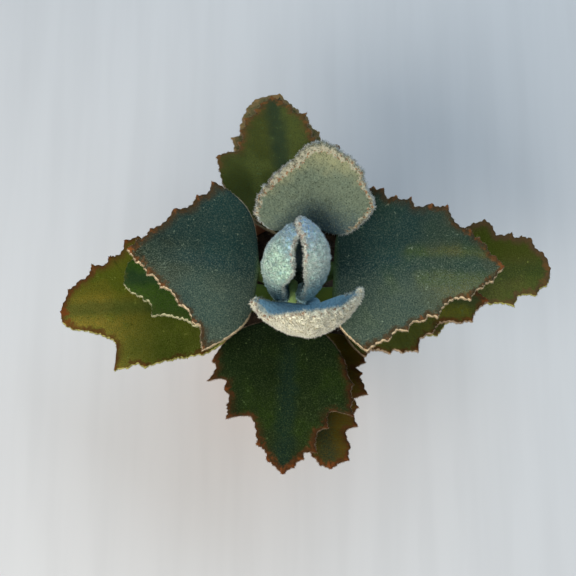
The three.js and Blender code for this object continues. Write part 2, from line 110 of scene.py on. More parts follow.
# Each leaf: the stem height it grows from, the foot of its blade, and how the blade is set and bent.
# The margins list the tips of teeth and the notches between them as (along, across, sag of the line
# that leads there). The last entry is the leaf tip.
LEAVES = {
    "bud_leaf_left": {
        "node": 111, "foot": (-7.2, -13.5, 120), "azimuth": 176, "pitch": 51, "bend": 100, "roll": 27,
        "cup": 5.7, "wave": (0.2, 14, 0), "thick": 2.9, "stalk": 2.9,
        "left": (
            (1.5, 8.4, 0.2), (6, 11.2, 0), (14, 11.5, -0.2), (22, 13.8, -0.6), (30, 13, -0.8),
            (36, 7, -0.4), (41, 0, -0.5),
        ),
        "right": (
            (5, 4.2, 0.3), (13, 12, -0.8), (24, 14, -1), (33, 11, -0.8), (38, 5, -0.4), (41, 0, -0.5),
        ),
    },
    "bud_leaf_right": {
        "node": 111, "foot": (2.8, -13.5, 120), "azimuth": 3, "pitch": 43, "bend": 101, "roll": -28.5,
        "cup": 5.7, "wave": (0.2, 15, 60), "thick": 2.9, "stalk": 2.9,
        "left": (
            (5, 4.2, 0.3), (13, 10, -0.8), (24, 10.6, -1), (35, 8.4, -0.8), (41, 4.6, -0.3),
            (43, 0, -0.4),
        ),
        "right": (
            (1.5, 7.8, 0.2), (6, 10.6, -0.3), (14, 11.8, -0.4), (24, 12.6, -0.8), (33, 10.2, -0.8),
            (38.5, 5.6, -0.4), (43, 0, -0.5),
        ),
    },
    "young_leaf_back": {
        "node": 107.5, "foot": (4, 10.5, 133), "azimuth": 78, "pitch": 38, "bend": 10,
        "keel": 8, "cup": 1, "wave": (0.5, 18, 40), "thick": 3.2, "stalk": 2.6,
        "left": (
            (3, 22.5, -6), (5.5, 21.8, 0.2), (9, 21.8, 0.5), (14, 19.8, 0.6), (19, 16.7, 0.6),
            (24, 12.2, 0.6), (29, 8, 0.5), (34, 0, -1),
        ),
        "right": (
            (6, 21, -4), (11, 24, 0.3), (16, 25.5, 0.4), (20, 24, 0.6), (24, 20.5, 0.7), (28.5, 18, 0.8),
            (31.5, 12.5, 0.6), (33, 6.5, 0.3), (34, 0, -0.6),
        ),
    },
    "young_leaf_front": {
        "node": 107.5, "foot": (6, -21.6, 122.5), "azimuth": 275.5, "pitch": 28, "bend": 92, "roll": 8,
        "keel": 9, "cup": 1.9, "wave": (0.5, 16, 0), "thick": 3.2, "stalk": 2.6,
        "left": (
            (4, 19, -3.5), (10.5, 25, 0.3), (19, 25.6, 0.5), (28, 21, 0.5), (36, 11, 0.5), (40, 0, -1),
        ),
        "right": (
            (3, 21.8, -3.5), (9, 26.2, 0.3), (18, 26.4, 0.5), (28, 21.6, 0.5), (36, 11, 0.5), (40, 0, -1),
        ),
    },
    "large_leaf_left": {
        "node": 101, "foot": (-16.9, -4.4, 117), "azimuth": 173.8, "pitch": 28, "bend": -30,
        "keel": 6, "cup": 0.3, "wave": (0.9, 34, 20), "thick": 3.6, "stalk": 3.2,
        "left": (
            (19, 37, -6.5), (20.4, 31.5, 0), (20.6, 27.6, 0.2), (24, 27, 0.2), (25.6, 22.8, 0.3),
            (30, 21, 0.5), (32.6, 16.4, 0.3), (37.4, 14.4, 0.6), (39.6, 10.8, 0.2), (43.2, 9.6, 0.5),
            (45.2, 6.3, 0.2), (48.3, 4.9, 0.4), (52, 0, 0.3),
        ),
        "right": (
            (24, 32, -6.5), (24.4, 27, 0.3), (28.8, 25.4, 0.5), (30.2, 21, 0.3), (36.8, 18.6, 0.8),
            (39.4, 12.9, 0.4), (44.8, 9.2, 0.5), (46.3, 5.9, 0.2), (48.8, 4.6, 0.2), (52, 0, 0.4),
        ),
    },
    "large_leaf_right": {
        "node": 101, "foot": (15.3, -4, 117), "azimuth": -0.5, "pitch": 22, "bend": -34,
        "cup": 0.25, "wave": (0.9, 38, 200), "thick": 3.6, "stalk": 3.2,
        "left": (
            (17, 32.5, -6), (18.6, 30.9, 0.1), (21, 31.8, 0.1), (21.9, 27.2, 0.3), (25.4, 28.6, 0.2),
            (27.4, 26.4, 0.2), (31.2, 27.8, 0.2), (32.6, 23.8, 0.3), (39, 25.4, 0.6), (41, 23.7, 0.1),
            (45.6, 24.6, 0.2), (46.6, 20, 0.4), (50, 15.8, 0.4), (54.4, 14.8, 0.4), (55.6, 11.9, 0.2),
            (57.7, 11.6, 0.1), (60.6, 8.8, 0.7), (62, 5.2, 0.3), (64.3, 4.2, 0.2), (67, 0, 0.2),
        ),
        "right": (
            (13, 34.5, -6), (18.4, 31.4, 0.4), (22, 31.4, 0.3), (24.8, 27.6, 0.4), (29, 28.6, 0.4),
            (30.3, 24.6, 0.3), (34.8, 24.4, 0.4), (36.6, 21.9, 0.2), (40.2, 22.7, 0.3), (43.4, 16.6, 0.6),
            (47, 14, 0.2), (53.2, 14.7, 0.7), (55.8, 10, 0.3), (58.2, 9.4, 0.2), (62.6, 6.4, 0.9),
            (67, 0, 0.5),
        ),
    },
    "large_leaf_back": {
        "node": 93, "foot": (-2.5, 17.5, 104), "azimuth": 98, "pitch": 12, "bend": -30,
        "wave": (0.8, 36, 90), "thick": 3.6, "stalk": 3.3,
        "left": (
            (34, 27.5, -8), (35.8, 22, 0), (36.2, 17.4, 0.2), (40.2, 17.4, 0.3), (41.6, 14.9, 0.2),
            (46.2, 16.2, 0.4), (47.8, 13.2, 0.3), (52.2, 13.6, 0.3), (53.8, 8.2, 0.5), (56.4, 8.3, 0.2),
            (57.2, 5.2, 0.3), (59.6, 5.2, 0.1), (62, 0, 0.4),
        ),
        "right": (
            (32, 25, -8), (34.8, 15.4, 0.7), (37.6, 16, 0.2), (38.8, 14, 0.2), (41.6, 15, 0.1),
            (43, 13, 0.2), (46, 14, 0.1), (47.4, 12.6, 0.1), (50.6, 14, 0.3), (52.2, 8.2, 0.6),
            (56.2, 8, 0.4), (57.8, 5, 0.2), (59.7, 4.7, 0.1), (62, 0, 0.4),
        ),
    },
    "large_leaf_front": {
        "node": 93, "foot": (-3, -22, 104), "azimuth": 267, "pitch": 12, "bend": -32,
        "wave": (0.8, 36, 10), "thick": 3.6, "stalk": 3.3,
        "left": (
            (18, 23.5, -3), (26, 26.7, 0.9), (32, 27, 1), (38.6, 28, 1.1), (36.9, 21.5, 0.2),
            (37.4, 17.2, 0.3), (43.6, 17.8, 0.7), (44.2, 14, 0.3), (48.2, 12.8, 0.4), (53.4, 13.6, 0.6),
            (53.6, 8.3, 0.5), (56.4, 8.2, 0.3), (57.6, 5.4, 0.3), (59.6, 5, 0.2), (62, 0, 0.5),
        ),
        "right": (
            (20, 31, -5), (21.8, 28.8, 0.2), (27.6, 32, 0.5), (26.4, 28, 0), (26.6, 24.4, 0.2),
            (30.4, 25.2, 0.3), (33, 22.8, 0.3), (36.6, 23.8, 0.4), (42, 24, 0.7), (40.3, 16.5, 0.3),
            (40.8, 13.4, 0.3), (47.2, 11.4, 0.6), (51.4, 11.2, 0.5), (53.6, 7.4, 0.4), (57.4, 6.8, 0.4),
            (59, 4, 0.2), (62, 0, 0.2),
        ),
    },
    "middle_leaf_left": {
        "node": 85, "foot": (-21, -7, 95), "azimuth": 174, "pitch": 15, "bend": -25,
        "wave": (0.7, 30, 150), "thick": 3.4, "stalk": 3.3,
        "left": (
            (10, 22, -5), (21, 18.6, 1), (27, 16, 0.7), (38.4, 16.2, 1), (39.6, 10.2, 0.6),
            (42, 9.8, 0.1), (47, 7, 0.5), (51, 4.2, -0.2), (52, 0, -0.7),
        ),
        "right": (
            (12, 24, -6), (18, 20.4, 0.9), (24, 19, 0.9), (29, 15.6, 0.8), (35, 14, 0.8),
            (40.5, 10.8, 0.8), (46, 9, 0.6), (50.5, 7.4, 0.2), (52, 0, -0.8),
        ),
    },
    "middle_leaf_right": {
        "node": 85, "foot": (19, -8, 92), "azimuth": -3, "pitch": 15, "bend": -25,
        "wave": (0.7, 34, 260), "thick": 3.4, "stalk": 3.3,
        "left": (
            (14, 24, -6), (21, 21.6, 1), (28, 21, 0.9), (34, 16.6, 0.9), (42, 15, 1), (47.6, 10, 0.8),
            (54, 7.4, 0.8), (61, 0, 0.6),
        ),
        "right": (
            (11, 27.5, -4), (13, 24.4, 0.2), (21, 26.6, 0.8), (22.8, 24.3, 0.2), (25.6, 26, 0.2),
            (32.6, 25, 0.8), (32.8, 19.4, 0.3), (38.4, 15.6, 0.5), (40.6, 11.4, 0.3), (49.2, 11.2, 0.8),
            (54.6, 10, 0.5), (56.6, 4.6, 0.5), (61, 0, 0.3),
        ),
    },
    "lower_leaf_back": {
        "node": 78, "foot": (-1, 20, 86), "azimuth": 96, "pitch": 12, "bend": -20,
        "wave": (0.6, 33, 0), "thick": 3.3, "stalk": 3.3,
        "left": (
            (28, 26, -6), (34, 21.6, 0.8), (40, 22.8, 0.5), (46.2, 23.8, 0.7), (47.4, 19.2, 0.4),
            (52, 19.2, 0.4), (56.2, 17.6, 0.6), (60.6, 15.2, 0.6), (64, 11.6, 0.4), (65.6, 6, -0.2),
            (66, 0, -0.5),
        ),
        "right": (
            (26, 26, -6), (32, 20.4, 0.8), (38, 23, 0.6), (40.6, 16.2, 0.6), (45.4, 15.8, 0.4),
            (49, 12.2, 0.6), (53, 11.6, 0.3), (57.6, 7.4, 0.7), (61, 4.8, 0.5), (66, 0, 0.3),
        ),
    },
    "lower_leaf_front": {
        "node": 78, "foot": (2, -26, 86), "azimuth": 282, "pitch": 12, "bend": -20,
        "wave": (0.6, 30, 120), "thick": 3.3, "stalk": 3.3,
        "left": (
            (11, 25.5, -4), (13, 23, 0.2), (16.6, 24.2, 0.2), (17.6, 19.2, 0.3), (20.6, 21.6, 0.2),
            (22.2, 20, 0.1), (25, 21, 0.2), (29.8, 21.8, 0.5), (30.2, 15.6, 0.4), (34, 16.8, 0.3),
            (35.6, 14.2, 0.2), (41.6, 14.8, 0.6), (42, 9.2, 0.4), (48.6, 10, 0.5), (54.2, 8, 0.6),
            (54.6, 3, 0.2), (55.5, 0, -0.2),
        ),
        "right": (
            (14, 24, -6), (21, 19.6, 0.9), (28, 19, 0.8), (33.4, 14, 0.8), (40, 12.4, 0.8), (44, 8, 0.6),
            (49, 6.8, 0.5), (53.5, 4.2, 0.4), (55.5, 0, 0.2),
        ),
    },
    "lowest_leaf_left": {
        "node": 71, "foot": (-30, -9, 80), "azimuth": 183, "pitch": 12, "bend": -22,
        "keel": 4, "wave": (0.7, 40, 70), "thick": 3.2, "stalk": 3.4,
        "left": (
            (12, 22.5, -5), (19, 23.6, 0.5), (25, 25, 0.5), (30.6, 26.4, 0.5), (36, 28.4, 0.5),
            (38.8, 26, 0.3), (43, 27.8, 0.4), (49, 28, 0.5), (48.2, 21, 0.2), (48.4, 15.4, 0.4),
            (52, 13, 0.3), (58, 10.6, 0.4), (62, 9.2, 0.2), (66, 8.6, 0.2), (70, 6.4, 0), (72, 0, -0.8),
        ),
        "right": (
            (30, 29, -6), (38, 31, 0.7), (43.6, 29.4, 0.6), (45.4, 23.4, 0.6), (50.6, 22.8, 0.5),
            (51.6, 19.4, 0.3), (58.2, 20, 0.7), (60, 14.8, 0.5), (64, 13.4, 0.4), (69, 9.8, 0.5),
            (70.6, 4.8, 0.3), (72, 0, -0.3),
        ),
    },
    "lowest_leaf_right": {
        "node": 71, "foot": (27, -5, 80), "azimuth": 8, "pitch": 12, "bend": -22,
        "keel": 4, "wave": (0.7, 42, 310), "thick": 3.2, "stalk": 3.4,
        "left": (
            (36, 27, -6), (42, 22.4, 0.8), (48, 22, 0.6), (53.2, 23.6, 0.6), (58.6, 24.8, 0.5),
            (61.8, 21.4, 0), (62.8, 17.4, 0.3), (70.2, 18, 0.7), (71, 15.2, 0.2), (74.2, 16, 0.3),
            (78.6, 14.6, 0.5), (79.6, 9.8, 0.4), (82, 8, 0.2), (84, 0, -0.8),
        ),
        "right": (
            (30, 24, -6), (38, 17, 0.8), (47, 13.4, 0.9), (55, 13.2, 0.9), (60, 13.8, 0.5),
            (64.4, 15.8, 0.4), (67.4, 10.9, 0.4), (75, 12.2, 0.9), (77.6, 8.8, 0.3), (80.8, 7.8, 0.3),
            (84, 0, -0.6),
        ),
    },
}
BUD_LEAVES = ("bud_leaf_left", "bud_leaf_right")
YOUNG_LEAVES = ("young_leaf_back", "young_leaf_front")
GROWN_LEAVES = tuple(name for name in LEAVES if name not in BUD_LEAVES + YOUNG_LEAVES)

# What each point of a leaf's skin carries: millimetres from the margin, how much of a tooth is nearest,
# share of the length, millimetres from the midrib, 0 on the upper face to 1 on the lower one, how far
# the nearest margin faces the warm side, whether it is the bare margin near the stalk, and 0 to 1
# across the blade towards the warm side; the two warm-side values place painted light and shade
LEAF_ATTRIBUTES = ("edge", "tooth", "along", "rib", "under", "front", "bare", "sunny")

# Colours of each kind of leaf, and then of the single leaves that differ from their kind; how far the
# painted shade reaches across a blade, and how far its midrib colour lasts, have common values. The shade
# colour is painted shade near the stalk and on the half turned from the warm light; where a leaf's shade
# colour is lighter than its body, it is painted light there
SHADE_REACH = 0.6
RIB_AT_TIP = 1.0
LEAF_COLOURS = {
    "leaf_bud": {
        "base": (0.23, 0.37, 0.41), "felt": (0.68, 0.91, 0.76),
        "felt_painted_cool_light": (0.36, 0.6, 0.9), "felt_root_and_pit_shade": (0.4, 0.62, 0.58), "felt_tip": (0.82, 0.9, 0.84),
        "edge": (0.42, 0.27, 0.2), "rim": (0.66, 0.66, 0.56),
    },
    "leaf_young": {
        "body": (0.162, 0.206, 0.146), "tip": (0.34, 0.35, 0.2), "rib": (0.054, 0.094, 0.112),
        "felt": (0.62, 0.68, 0.68), "felt_root_and_pit_shade": (0.42, 0.45, 0.41), "felt_tip": (0.66, 0.69, 0.64),
        "edge": (0.3, 0.13, 0.05), "rim": (0.5, 0.48, 0.36), "fleck": (0.3, 0.35, 0.24),
    },
    "leaf_large": {
        "body": (0.021, 0.056, 0.046), "tip": (0.06, 0.078, 0.03), "rib": (0.018, 0.052, 0.052),
        "shade": (0.01, 0.035, 0.033), "edge": (0.27, 0.085, 0.02), "edge_dark": (0.062, 0.034, 0.012),
        "rim": (0.78, 0.62, 0.4), "ripe_tip": 0.4, "blush": 0.4, "blotch": (0.034, 0.07, 0.03),
        "under": (0.17, 0.2, 0.15), "fleck": (0.17, 0.21, 0.145),
    },
    "leaf_middle": {
        "body": (0.008, 0.02, 0.003), "tip": (0.015, 0.025, 0.005), "rib": (0.006, 0.024, 0.018),
        "shade": (0.004, 0.012, 0.004), "edge": (0.18, 0.05, 0.012), "edge_dark": (0.06, 0.022, 0.007),
        "rim": (0.46, 0.34, 0.22), "ripe_tip": 0.5, "blush": 0.35, "blotch": (0.02, 0.042, 0.003),
        "under": (0.13, 0.15, 0.09), "fleck": (0.05, 0.076, 0.026),
    },
    "leaf_lowest": {
        "body": (0.044, 0.077, 0.001), "tip": (0.3, 0.205, 0.026), "rib": (0.034, 0.062, 0.014),
        "shade": (0.056, 0.07, 0.003), "edge": (0.17, 0.045, 0.01), "edge_dark": (0.08, 0.03, 0.009),
        "rim": (0.46, 0.44, 0.13), "ripe_tip": 1.2, "blush": 0.6, "blotch": (0.08, 0.122, 0.004),
        "under": (0.17, 0.18, 0.09), "fleck": (0.13, 0.15, 0.03),
    },
}
STALK_GREEN = (0.075, 0.12, 0.022)
# Near-black painted shade in hollows: inside the bud leaves and deep in the young leaves' stalks
PAINTED_HOLLOW_SHADE = (0.003, 0.01, 0.003)
LEAF_TINTS = {
    # Painted light: lighter felt and base than the left bud, which the warm light reaches more
    "bud_leaf_right": {
        "base": (0.5, 0.74, 0.78), "felt": (0.84, 1.0, 0.92), "felt_root_and_pit_shade": (0.52, 0.74, 0.68),
        "felt_tip": (0.96, 1.0, 0.96),
    },
    # Painted light: the inner face blue as painted cool light, the outer felt bright cream as painted warm
    # light
    "young_leaf_front": {
        "body": (0.3, 0.52, 0.66), "tip": (0.36, 0.56, 0.66), "rib": (0.22, 0.42, 0.56),
        "felt": (0.97, 0.96, 0.78), "felt_root_and_pit_shade": (0.7, 0.64, 0.46), "felt_tip": (1.0, 1.0, 0.9),
        "rim": (0.78, 0.74, 0.58), "fleck": (0.44, 0.62, 0.68),
    },
    "large_leaf_left": {
        "body": (0.015, 0.056, 0.048), "tip": (0.026, 0.02, 0.002), "blotch": (0.03, 0.052, 0.034),
        "rib_at_tip": 0.1, "blush": 0.65,
    },
    "large_leaf_right": {"tip": (0.15, 0.134, 0.026), "blotch": (0.056, 0.098, 0.026), "shade_reach": 0.4},
    "large_leaf_back": {
        "body": (0.056, 0.068, 0.011), "tip": (0.074, 0.08, 0.014), "shade": (0.066, 0.072, 0.018),
        "blotch": (0.11, 0.13, 0.028), "rib": (0.009, 0.032, 0.026), "edge": (0.24, 0.095, 0.028),
        "edge_dark": (0.115, 0.062, 0.022),
    },
    # Painted light: a shade colour lighter than the body, where the leaf above shades the part near the stalk
    "lower_leaf_front": {
        "body": (0.046, 0.028, 0.002), "tip": (0.076, 0.044, 0.004), "blotch": (0.058, 0.04, 0.002),
        "shade": (0.15, 0.098, 0.006), "shade_reach": 0.4,
    },
    "lower_leaf_back": {
        "body": (0.11, 0.098, 0.028), "tip": (0.2, 0.16, 0.07), "blotch": (0.14, 0.126, 0.04),
        "edge": (0.36, 0.21, 0.08), "edge_dark": (0.22, 0.155, 0.07), "rim": (0.76, 0.64, 0.44),
        "blush": 0.0,
    },
    "middle_leaf_left": {
        "body": (0.034, 0.082, 0.004), "tip": (0.044, 0.096, 0.006), "shade": (0.016, 0.044, 0.003),
        "blotch": (0.06, 0.126, 0.006), "rim": (0.72, 0.7, 0.44), "edge": (0.06, 0.07, 0.016),
        "edge_dark": (0.04, 0.06, 0.01), "ripe_tip": -1.5, "blush": 0.0,
    },
    "middle_leaf_right": {
        "body": (0.072, 0.078, 0.006), "tip": (0.11, 0.092, 0.007), "shade": (0.04, 0.046, 0.004),
        "blotch": (0.12, 0.118, 0.006),
    },
    "lowest_leaf_right": {
        "body": (0.044, 0.06, 0.019), "tip": (0.088, 0.078, 0.028), "blotch": (0.056, 0.08, 0.016),
        "edge": (0.16, 0.075, 0.024), "edge_dark": (0.1, 0.06, 0.026), "blush": 0.9,
    },
}
LEAF_SLOTS = {
    "large_leaf_left": "leaf_large", "large_leaf_right": "leaf_large",
    "lowest_leaf_left": "leaf_lowest", "lowest_leaf_right": "leaf_lowest",
}
LEAF_SLOTS.update({name: "leaf_bud" for name in BUD_LEAVES})
LEAF_SLOTS.update({name: "leaf_young" for name in YOUNG_LEAVES})


def colour_setting(name, description, default):
    return FloatVectorProperty(name=name, description=description, subtype="COLOR", default=default)


def length_setting(name, description, default):
    return FloatProperty(name=name, description=description, unit="LENGTH", default=default)


def count_setting(name, description, default, least=0):
    return IntProperty(name=name, description=description, default=default, min=least)


class PotSettings(bpy.types.PropertyGroup):
    """Finish of the clay pot and what fills it."""

    clay: colour_setting("Clay", "Colour of the fired clay", (0.50, 0.19, 0.085))
    bloom: colour_setting("Bloom", "Colour of the lime that water leaves on the clay", (0.62, 0.50, 0.41))
    # Painted shade: the inside of the pot near to black, over the wet clay's own darkening
    damp_and_shade: colour_setting("Damp", "Colour of the clay inside, kept wet by the soil", (0.045, 0.026, 0.016))
    edge_radius: length_setting("Edge radius", "Rounding of the pot's edges", 0.0007)
    sides: count_setting("Sides", "Sides of the pot's rings", 144, 24)
    crumbs: count_setting("Crumbs", "Loose crumbs on the soil", 420)
    crumb_size: length_setting("Crumb size", "Width of a middling crumb", 0.0019)


class LeafSettings(bpy.types.PropertyGroup):
    """Margins, relief and felt of the leaves."""

    row_step: length_setting("Row step", "Distance between rows of the mesh at the margin", 0.00056)
    columns: count_setting("Columns", "Columns on each half of a grown blade", 16, 6)
    young_columns: count_setting("Young columns", "Columns on each half of a young blade", 38, 6)
    tooth_spacing: length_setting("Tooth spacing", "Distance between small teeth on a grown margin", 0.0027)
    tooth_height: length_setting("Tooth height", "Height of a small tooth on a grown margin", 0.0007)
    vein_depth: length_setting("Vein depth", "Depth of the side veins", 0.0001)
    rib_depth: length_setting("Midrib depth", "Depth of the channel along the midrib", 0.0002)
    tuft_depth: length_setting("Tuft depth", "Height of the lumps in the felt of a young leaf", 0.0008)
    felt_length: length_setting("Felt length", "Length of a strand of felt on a young leaf", 0.00115)
    felt_radius: length_setting("Felt radius", "Radius of a strand of felt at its root", 0.00012)
    young_strands: count_setting("Young strands", "Strands of felt on a young leaf", 15000)
    rim_strands: count_setting("Rim strands", "Strands of felt along a grown margin", 2600)


class StageSettings(bpy.types.PropertyGroup):
    """Floor, light and camera."""

    floor: colour_setting("Floor", "Colour of the floor", (0.725, 0.735, 0.75))
    cool: colour_setting("Cool light", "Colour of the high light at the back", (0.68, 0.85, 1.0))
    warm: colour_setting("Warm light", "Colour of the low light at the front", (1.0, 0.94, 0.85))
    cool_power: FloatProperty(
        name="Cool power", description="Strength of the high light at the back", default=3.8, unit="POWER")
    warm_power: FloatProperty(
        name="Warm power", description="Strength of the low light at the front", default=5.8, unit="POWER")
    sky: FloatProperty(name="Sky", description="Strength of the even light all round", default=0.26)
    elevation: FloatProperty(
        name="Elevation", description="Angle of the camera above the horizon",
        default=math.radians(75), subtype="ANGLE")
    distance: length_setting("Distance", "Camera to the middle of the rosette", 0.45)
    lens: FloatProperty(name="Lens", description="Focal length in millimetres", default=70.3)


# Small tools

def at(point):
    """A place given in millimetres from the pot's axis, in the frame's metres."""
    return POT_AXIS + Vector(point) * MM


def lerp(a, b, t):
    return a + (b - a) * t


def smooth(value, start, end):
    """0 below start, 1 above end, and an even curve between."""
    t = min(max((value - start) / (end - start), 0), 1)
    return t * t * (3 - 2 * t)


def bell(distance, width):
    return math.exp(-(distance / width) ** 2)


def half_oval(fraction):
    """Height of a unit half circle at a fraction of its radius."""
    return math.sqrt(max(1 - fraction ** 2, 0))


def toned(colour, factor):
    """A colour made darker or lighter."""
    return tuple(min(channel * factor, 1) for channel in colour)


def deselect():
    """Leaves edit mode and selects nothing."""
    if bpy.context.object and bpy.context.object.mode != "OBJECT":
        bpy.ops.object.mode_set(mode="OBJECT")
    bpy.ops.object.select_all(action="DESELECT")


def take_up(*objects):
    """Selects nothing but these objects and makes the first one active."""
    deselect()
    for obj in objects:
        obj.select_set(True)
    bpy.context.view_layer.objects.active = objects[0]


def join(pieces):
    """Joins objects into the first one."""
    take_up(*pieces)
    bpy.ops.object.join()
    return pieces[0]


def apply_all(obj):
    """Applies every modifier of an object, in order."""
    take_up(obj)
    for modifier in list(obj.modifiers):
        bpy.ops.object.modifier_apply(modifier=modifier.name)


def settle(obj, name, material, node=None):
    """Names a finished piece, applies its place, gives it its material and puts it in the frame."""
    take_up(obj)
    bpy.ops.object.transform_apply(location=True, rotation=True, scale=True)
    obj.name = name
    obj.data.name = name
    obj.data.materials.clear()
    obj.data.materials.append(material)
    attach(obj, BODY)
    if node:
        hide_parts(node)


def close_and_turn_out(obj):
    """Merges meeting vertices, fills open ends and points the faces outwards."""
    take_up(obj)
    bpy.ops.object.mode_set(mode="EDIT")
    bpy.ops.mesh.select_all(action="SELECT")
    bpy.ops.mesh.remove_doubles(threshold=MERGE_DISTANCE)
    bpy.ops.mesh.fill_holes(sides=0)
    bpy.ops.mesh.normals_make_consistent(inside=False)
    bpy.ops.object.mode_set(mode="OBJECT")


def shade_smooth(obj, angle=None):
    """Shades an object smooth, but for the edges sharper than an angle in degrees."""
    take_up(obj)
    if angle is None:
        bpy.ops.object.shade_smooth()
    else:
        bpy.ops.object.shade_smooth_by_angle(angle=math.radians(angle))


def roughen(obj, name, size, depth, octaves):
    """Pushes the surface in and out by a soft noise; size and depth in millimetres."""
    clouds = bpy.data.textures.new(name, "CLOUDS")
    clouds.noise_scale = size * MM
    clouds.noise_depth = octaves
    displace = obj.modifiers.new(name, "DISPLACE")
    displace.texture = clouds
    displace.texture_coords = "GLOBAL"
    displace.strength = depth * MM
    displace.mid_level = 0.5


def add_attribute(obj, name, values):
    """Gives each vertex of an object a number of its own."""
    layer = obj.data.attributes.new(name, "FLOAT", "POINT")
    layer.data.foreach_set("value", values)


def feed(tree, socket, source):
    """Links a node's output to a socket, or sets the socket's value."""
    if isinstance(source, bpy.types.NodeSocket):
        tree.links.new(source, socket)
    elif socket.type == "RGBA" and len(source) == 3:
        socket.default_value = (*source, 1)
    else:
        socket.default_value = source


def add_node(tree, kind, inputs, **settings):
    """Adds a node with its settings, and feeds its inputs by name or number."""
    made = tree.nodes.new(kind)
    for key, value in settings.items():
        setattr(made, key, value)
    for key, source in inputs.items():
        feed(tree, made.inputs[key], source)
    return made


class Finish:
    """One material, built from plain calls. Patterns lie on Object coordinates, in millimetres."""

    def __init__(self, name, roughness):
        self.material = bpy.data.materials.new(name)
        self.material.use_nodes = True
        self.tree = self.material.node_tree
        self.shader = self.tree.nodes["Principled BSDF"]
        self.shader.inputs["Roughness"].default_value = roughness
        self.places = self.node("ShaderNodeTexCoord", "Object")

    def node(self, kind, output, inputs=None, **settings):
        """One output of a new node."""
        return add_node(self.tree, kind, inputs or {}, **settings).outputs[output]

    def attribute(self, name):
        return self.node("ShaderNodeAttribute", "Fac", attribute_name=name)

    def place(self, axis):
        """Object coordinate along X, Y or Z, in metres."""
        return self.node("ShaderNodeSeparateXYZ", axis, {"Vector": self.places})

    def stretched(self, scale):
        return self.node("ShaderNodeMapping", "Vector", {"Vector": self.places, "Scale": scale})

    def grain(self, size, detail=3.0, roughness=0.55, places=None):
        """Noise whose lumps are about size millimetres across."""
        inputs = {"Vector": places or self.places, "Scale": 1 / (size * MM), "Detail": detail,
                  "Roughness": roughness}
        return self.node("ShaderNodeTexNoise", "Fac", inputs)

    def fade(self, source, start, end, low=0.0, high=1.0):
        """Maps start..end to low..high, with an even curve."""
        inputs = {"Value": source, "From Min": start, "From Max": end, "To Min": low, "To Max": high}
        return self.node("ShaderNodeMapRange", "Result", inputs, interpolation_type="SMOOTHSTEP")

    def combined(self, operation, terms):
        """Chains one operation of the Math node through its terms."""
        total = terms[0]
        for term in terms[1:]:
            total = self.node("ShaderNodeMath", "Value", {0: total, 1: term}, operation=operation)
        return total

    def plus(self, *terms):
        return self.combined("ADD", terms)

    def minus(self, *terms):
        return self.combined("SUBTRACT", terms)

    def times(self, *terms):
        return self.combined("MULTIPLY", terms)

    def most(self, *terms):
        return self.combined("MAXIMUM", terms)

    def mix(self, first, second, share):
        """Colour that goes from first to second as share goes from 0 to 1."""
        made = add_node(self.tree, "ShaderNodeMix", {"Factor": share}, data_type="RGBA")
        colours = [socket for socket in made.inputs if socket.type == "RGBA"]
        for socket, source in zip(colours, (first, second)):
            feed(self.tree, socket, source)
        return next(socket for socket in made.outputs if socket.type == "RGBA")

    def layered(self, colour, *layers):
        """A colour under others, each given with the share that it covers."""
        for cover, share in layers:
            colour = self.mix(colour, cover, share)
        return colour

    def relief(self, *layers):
        """Bumps laid over one another, each a pattern with its depth in millimetres."""
        inputs = {}
        for pattern, depth in layers:
            inputs.update({"Height": pattern, "Distance": depth * MM})
            inputs["Normal"] = self.node("ShaderNodeBump", "Normal", inputs)
        return inputs["Normal"]

    def finish(self, colour, **inputs):
        """The finished material; inputs name the shader's other sockets, with _ for a space."""
        feed(self.tree, self.shader.inputs["Base Color"], colour)
        for key, source in inputs.items():
            feed(self.tree, self.shader.inputs[key.replace("_", " ")], source)
        return self.material


# Materials

def leaf_slot(name):
    return LEAF_SLOTS.get(name, "leaf_middle")


def leaf_colours(name):
    shares = {"shade_reach": SHADE_REACH, "rib_at_tip": RIB_AT_TIP}
    return {**shares, **LEAF_COLOURS[leaf_slot(name)], **LEAF_TINTS.get(name, {})}


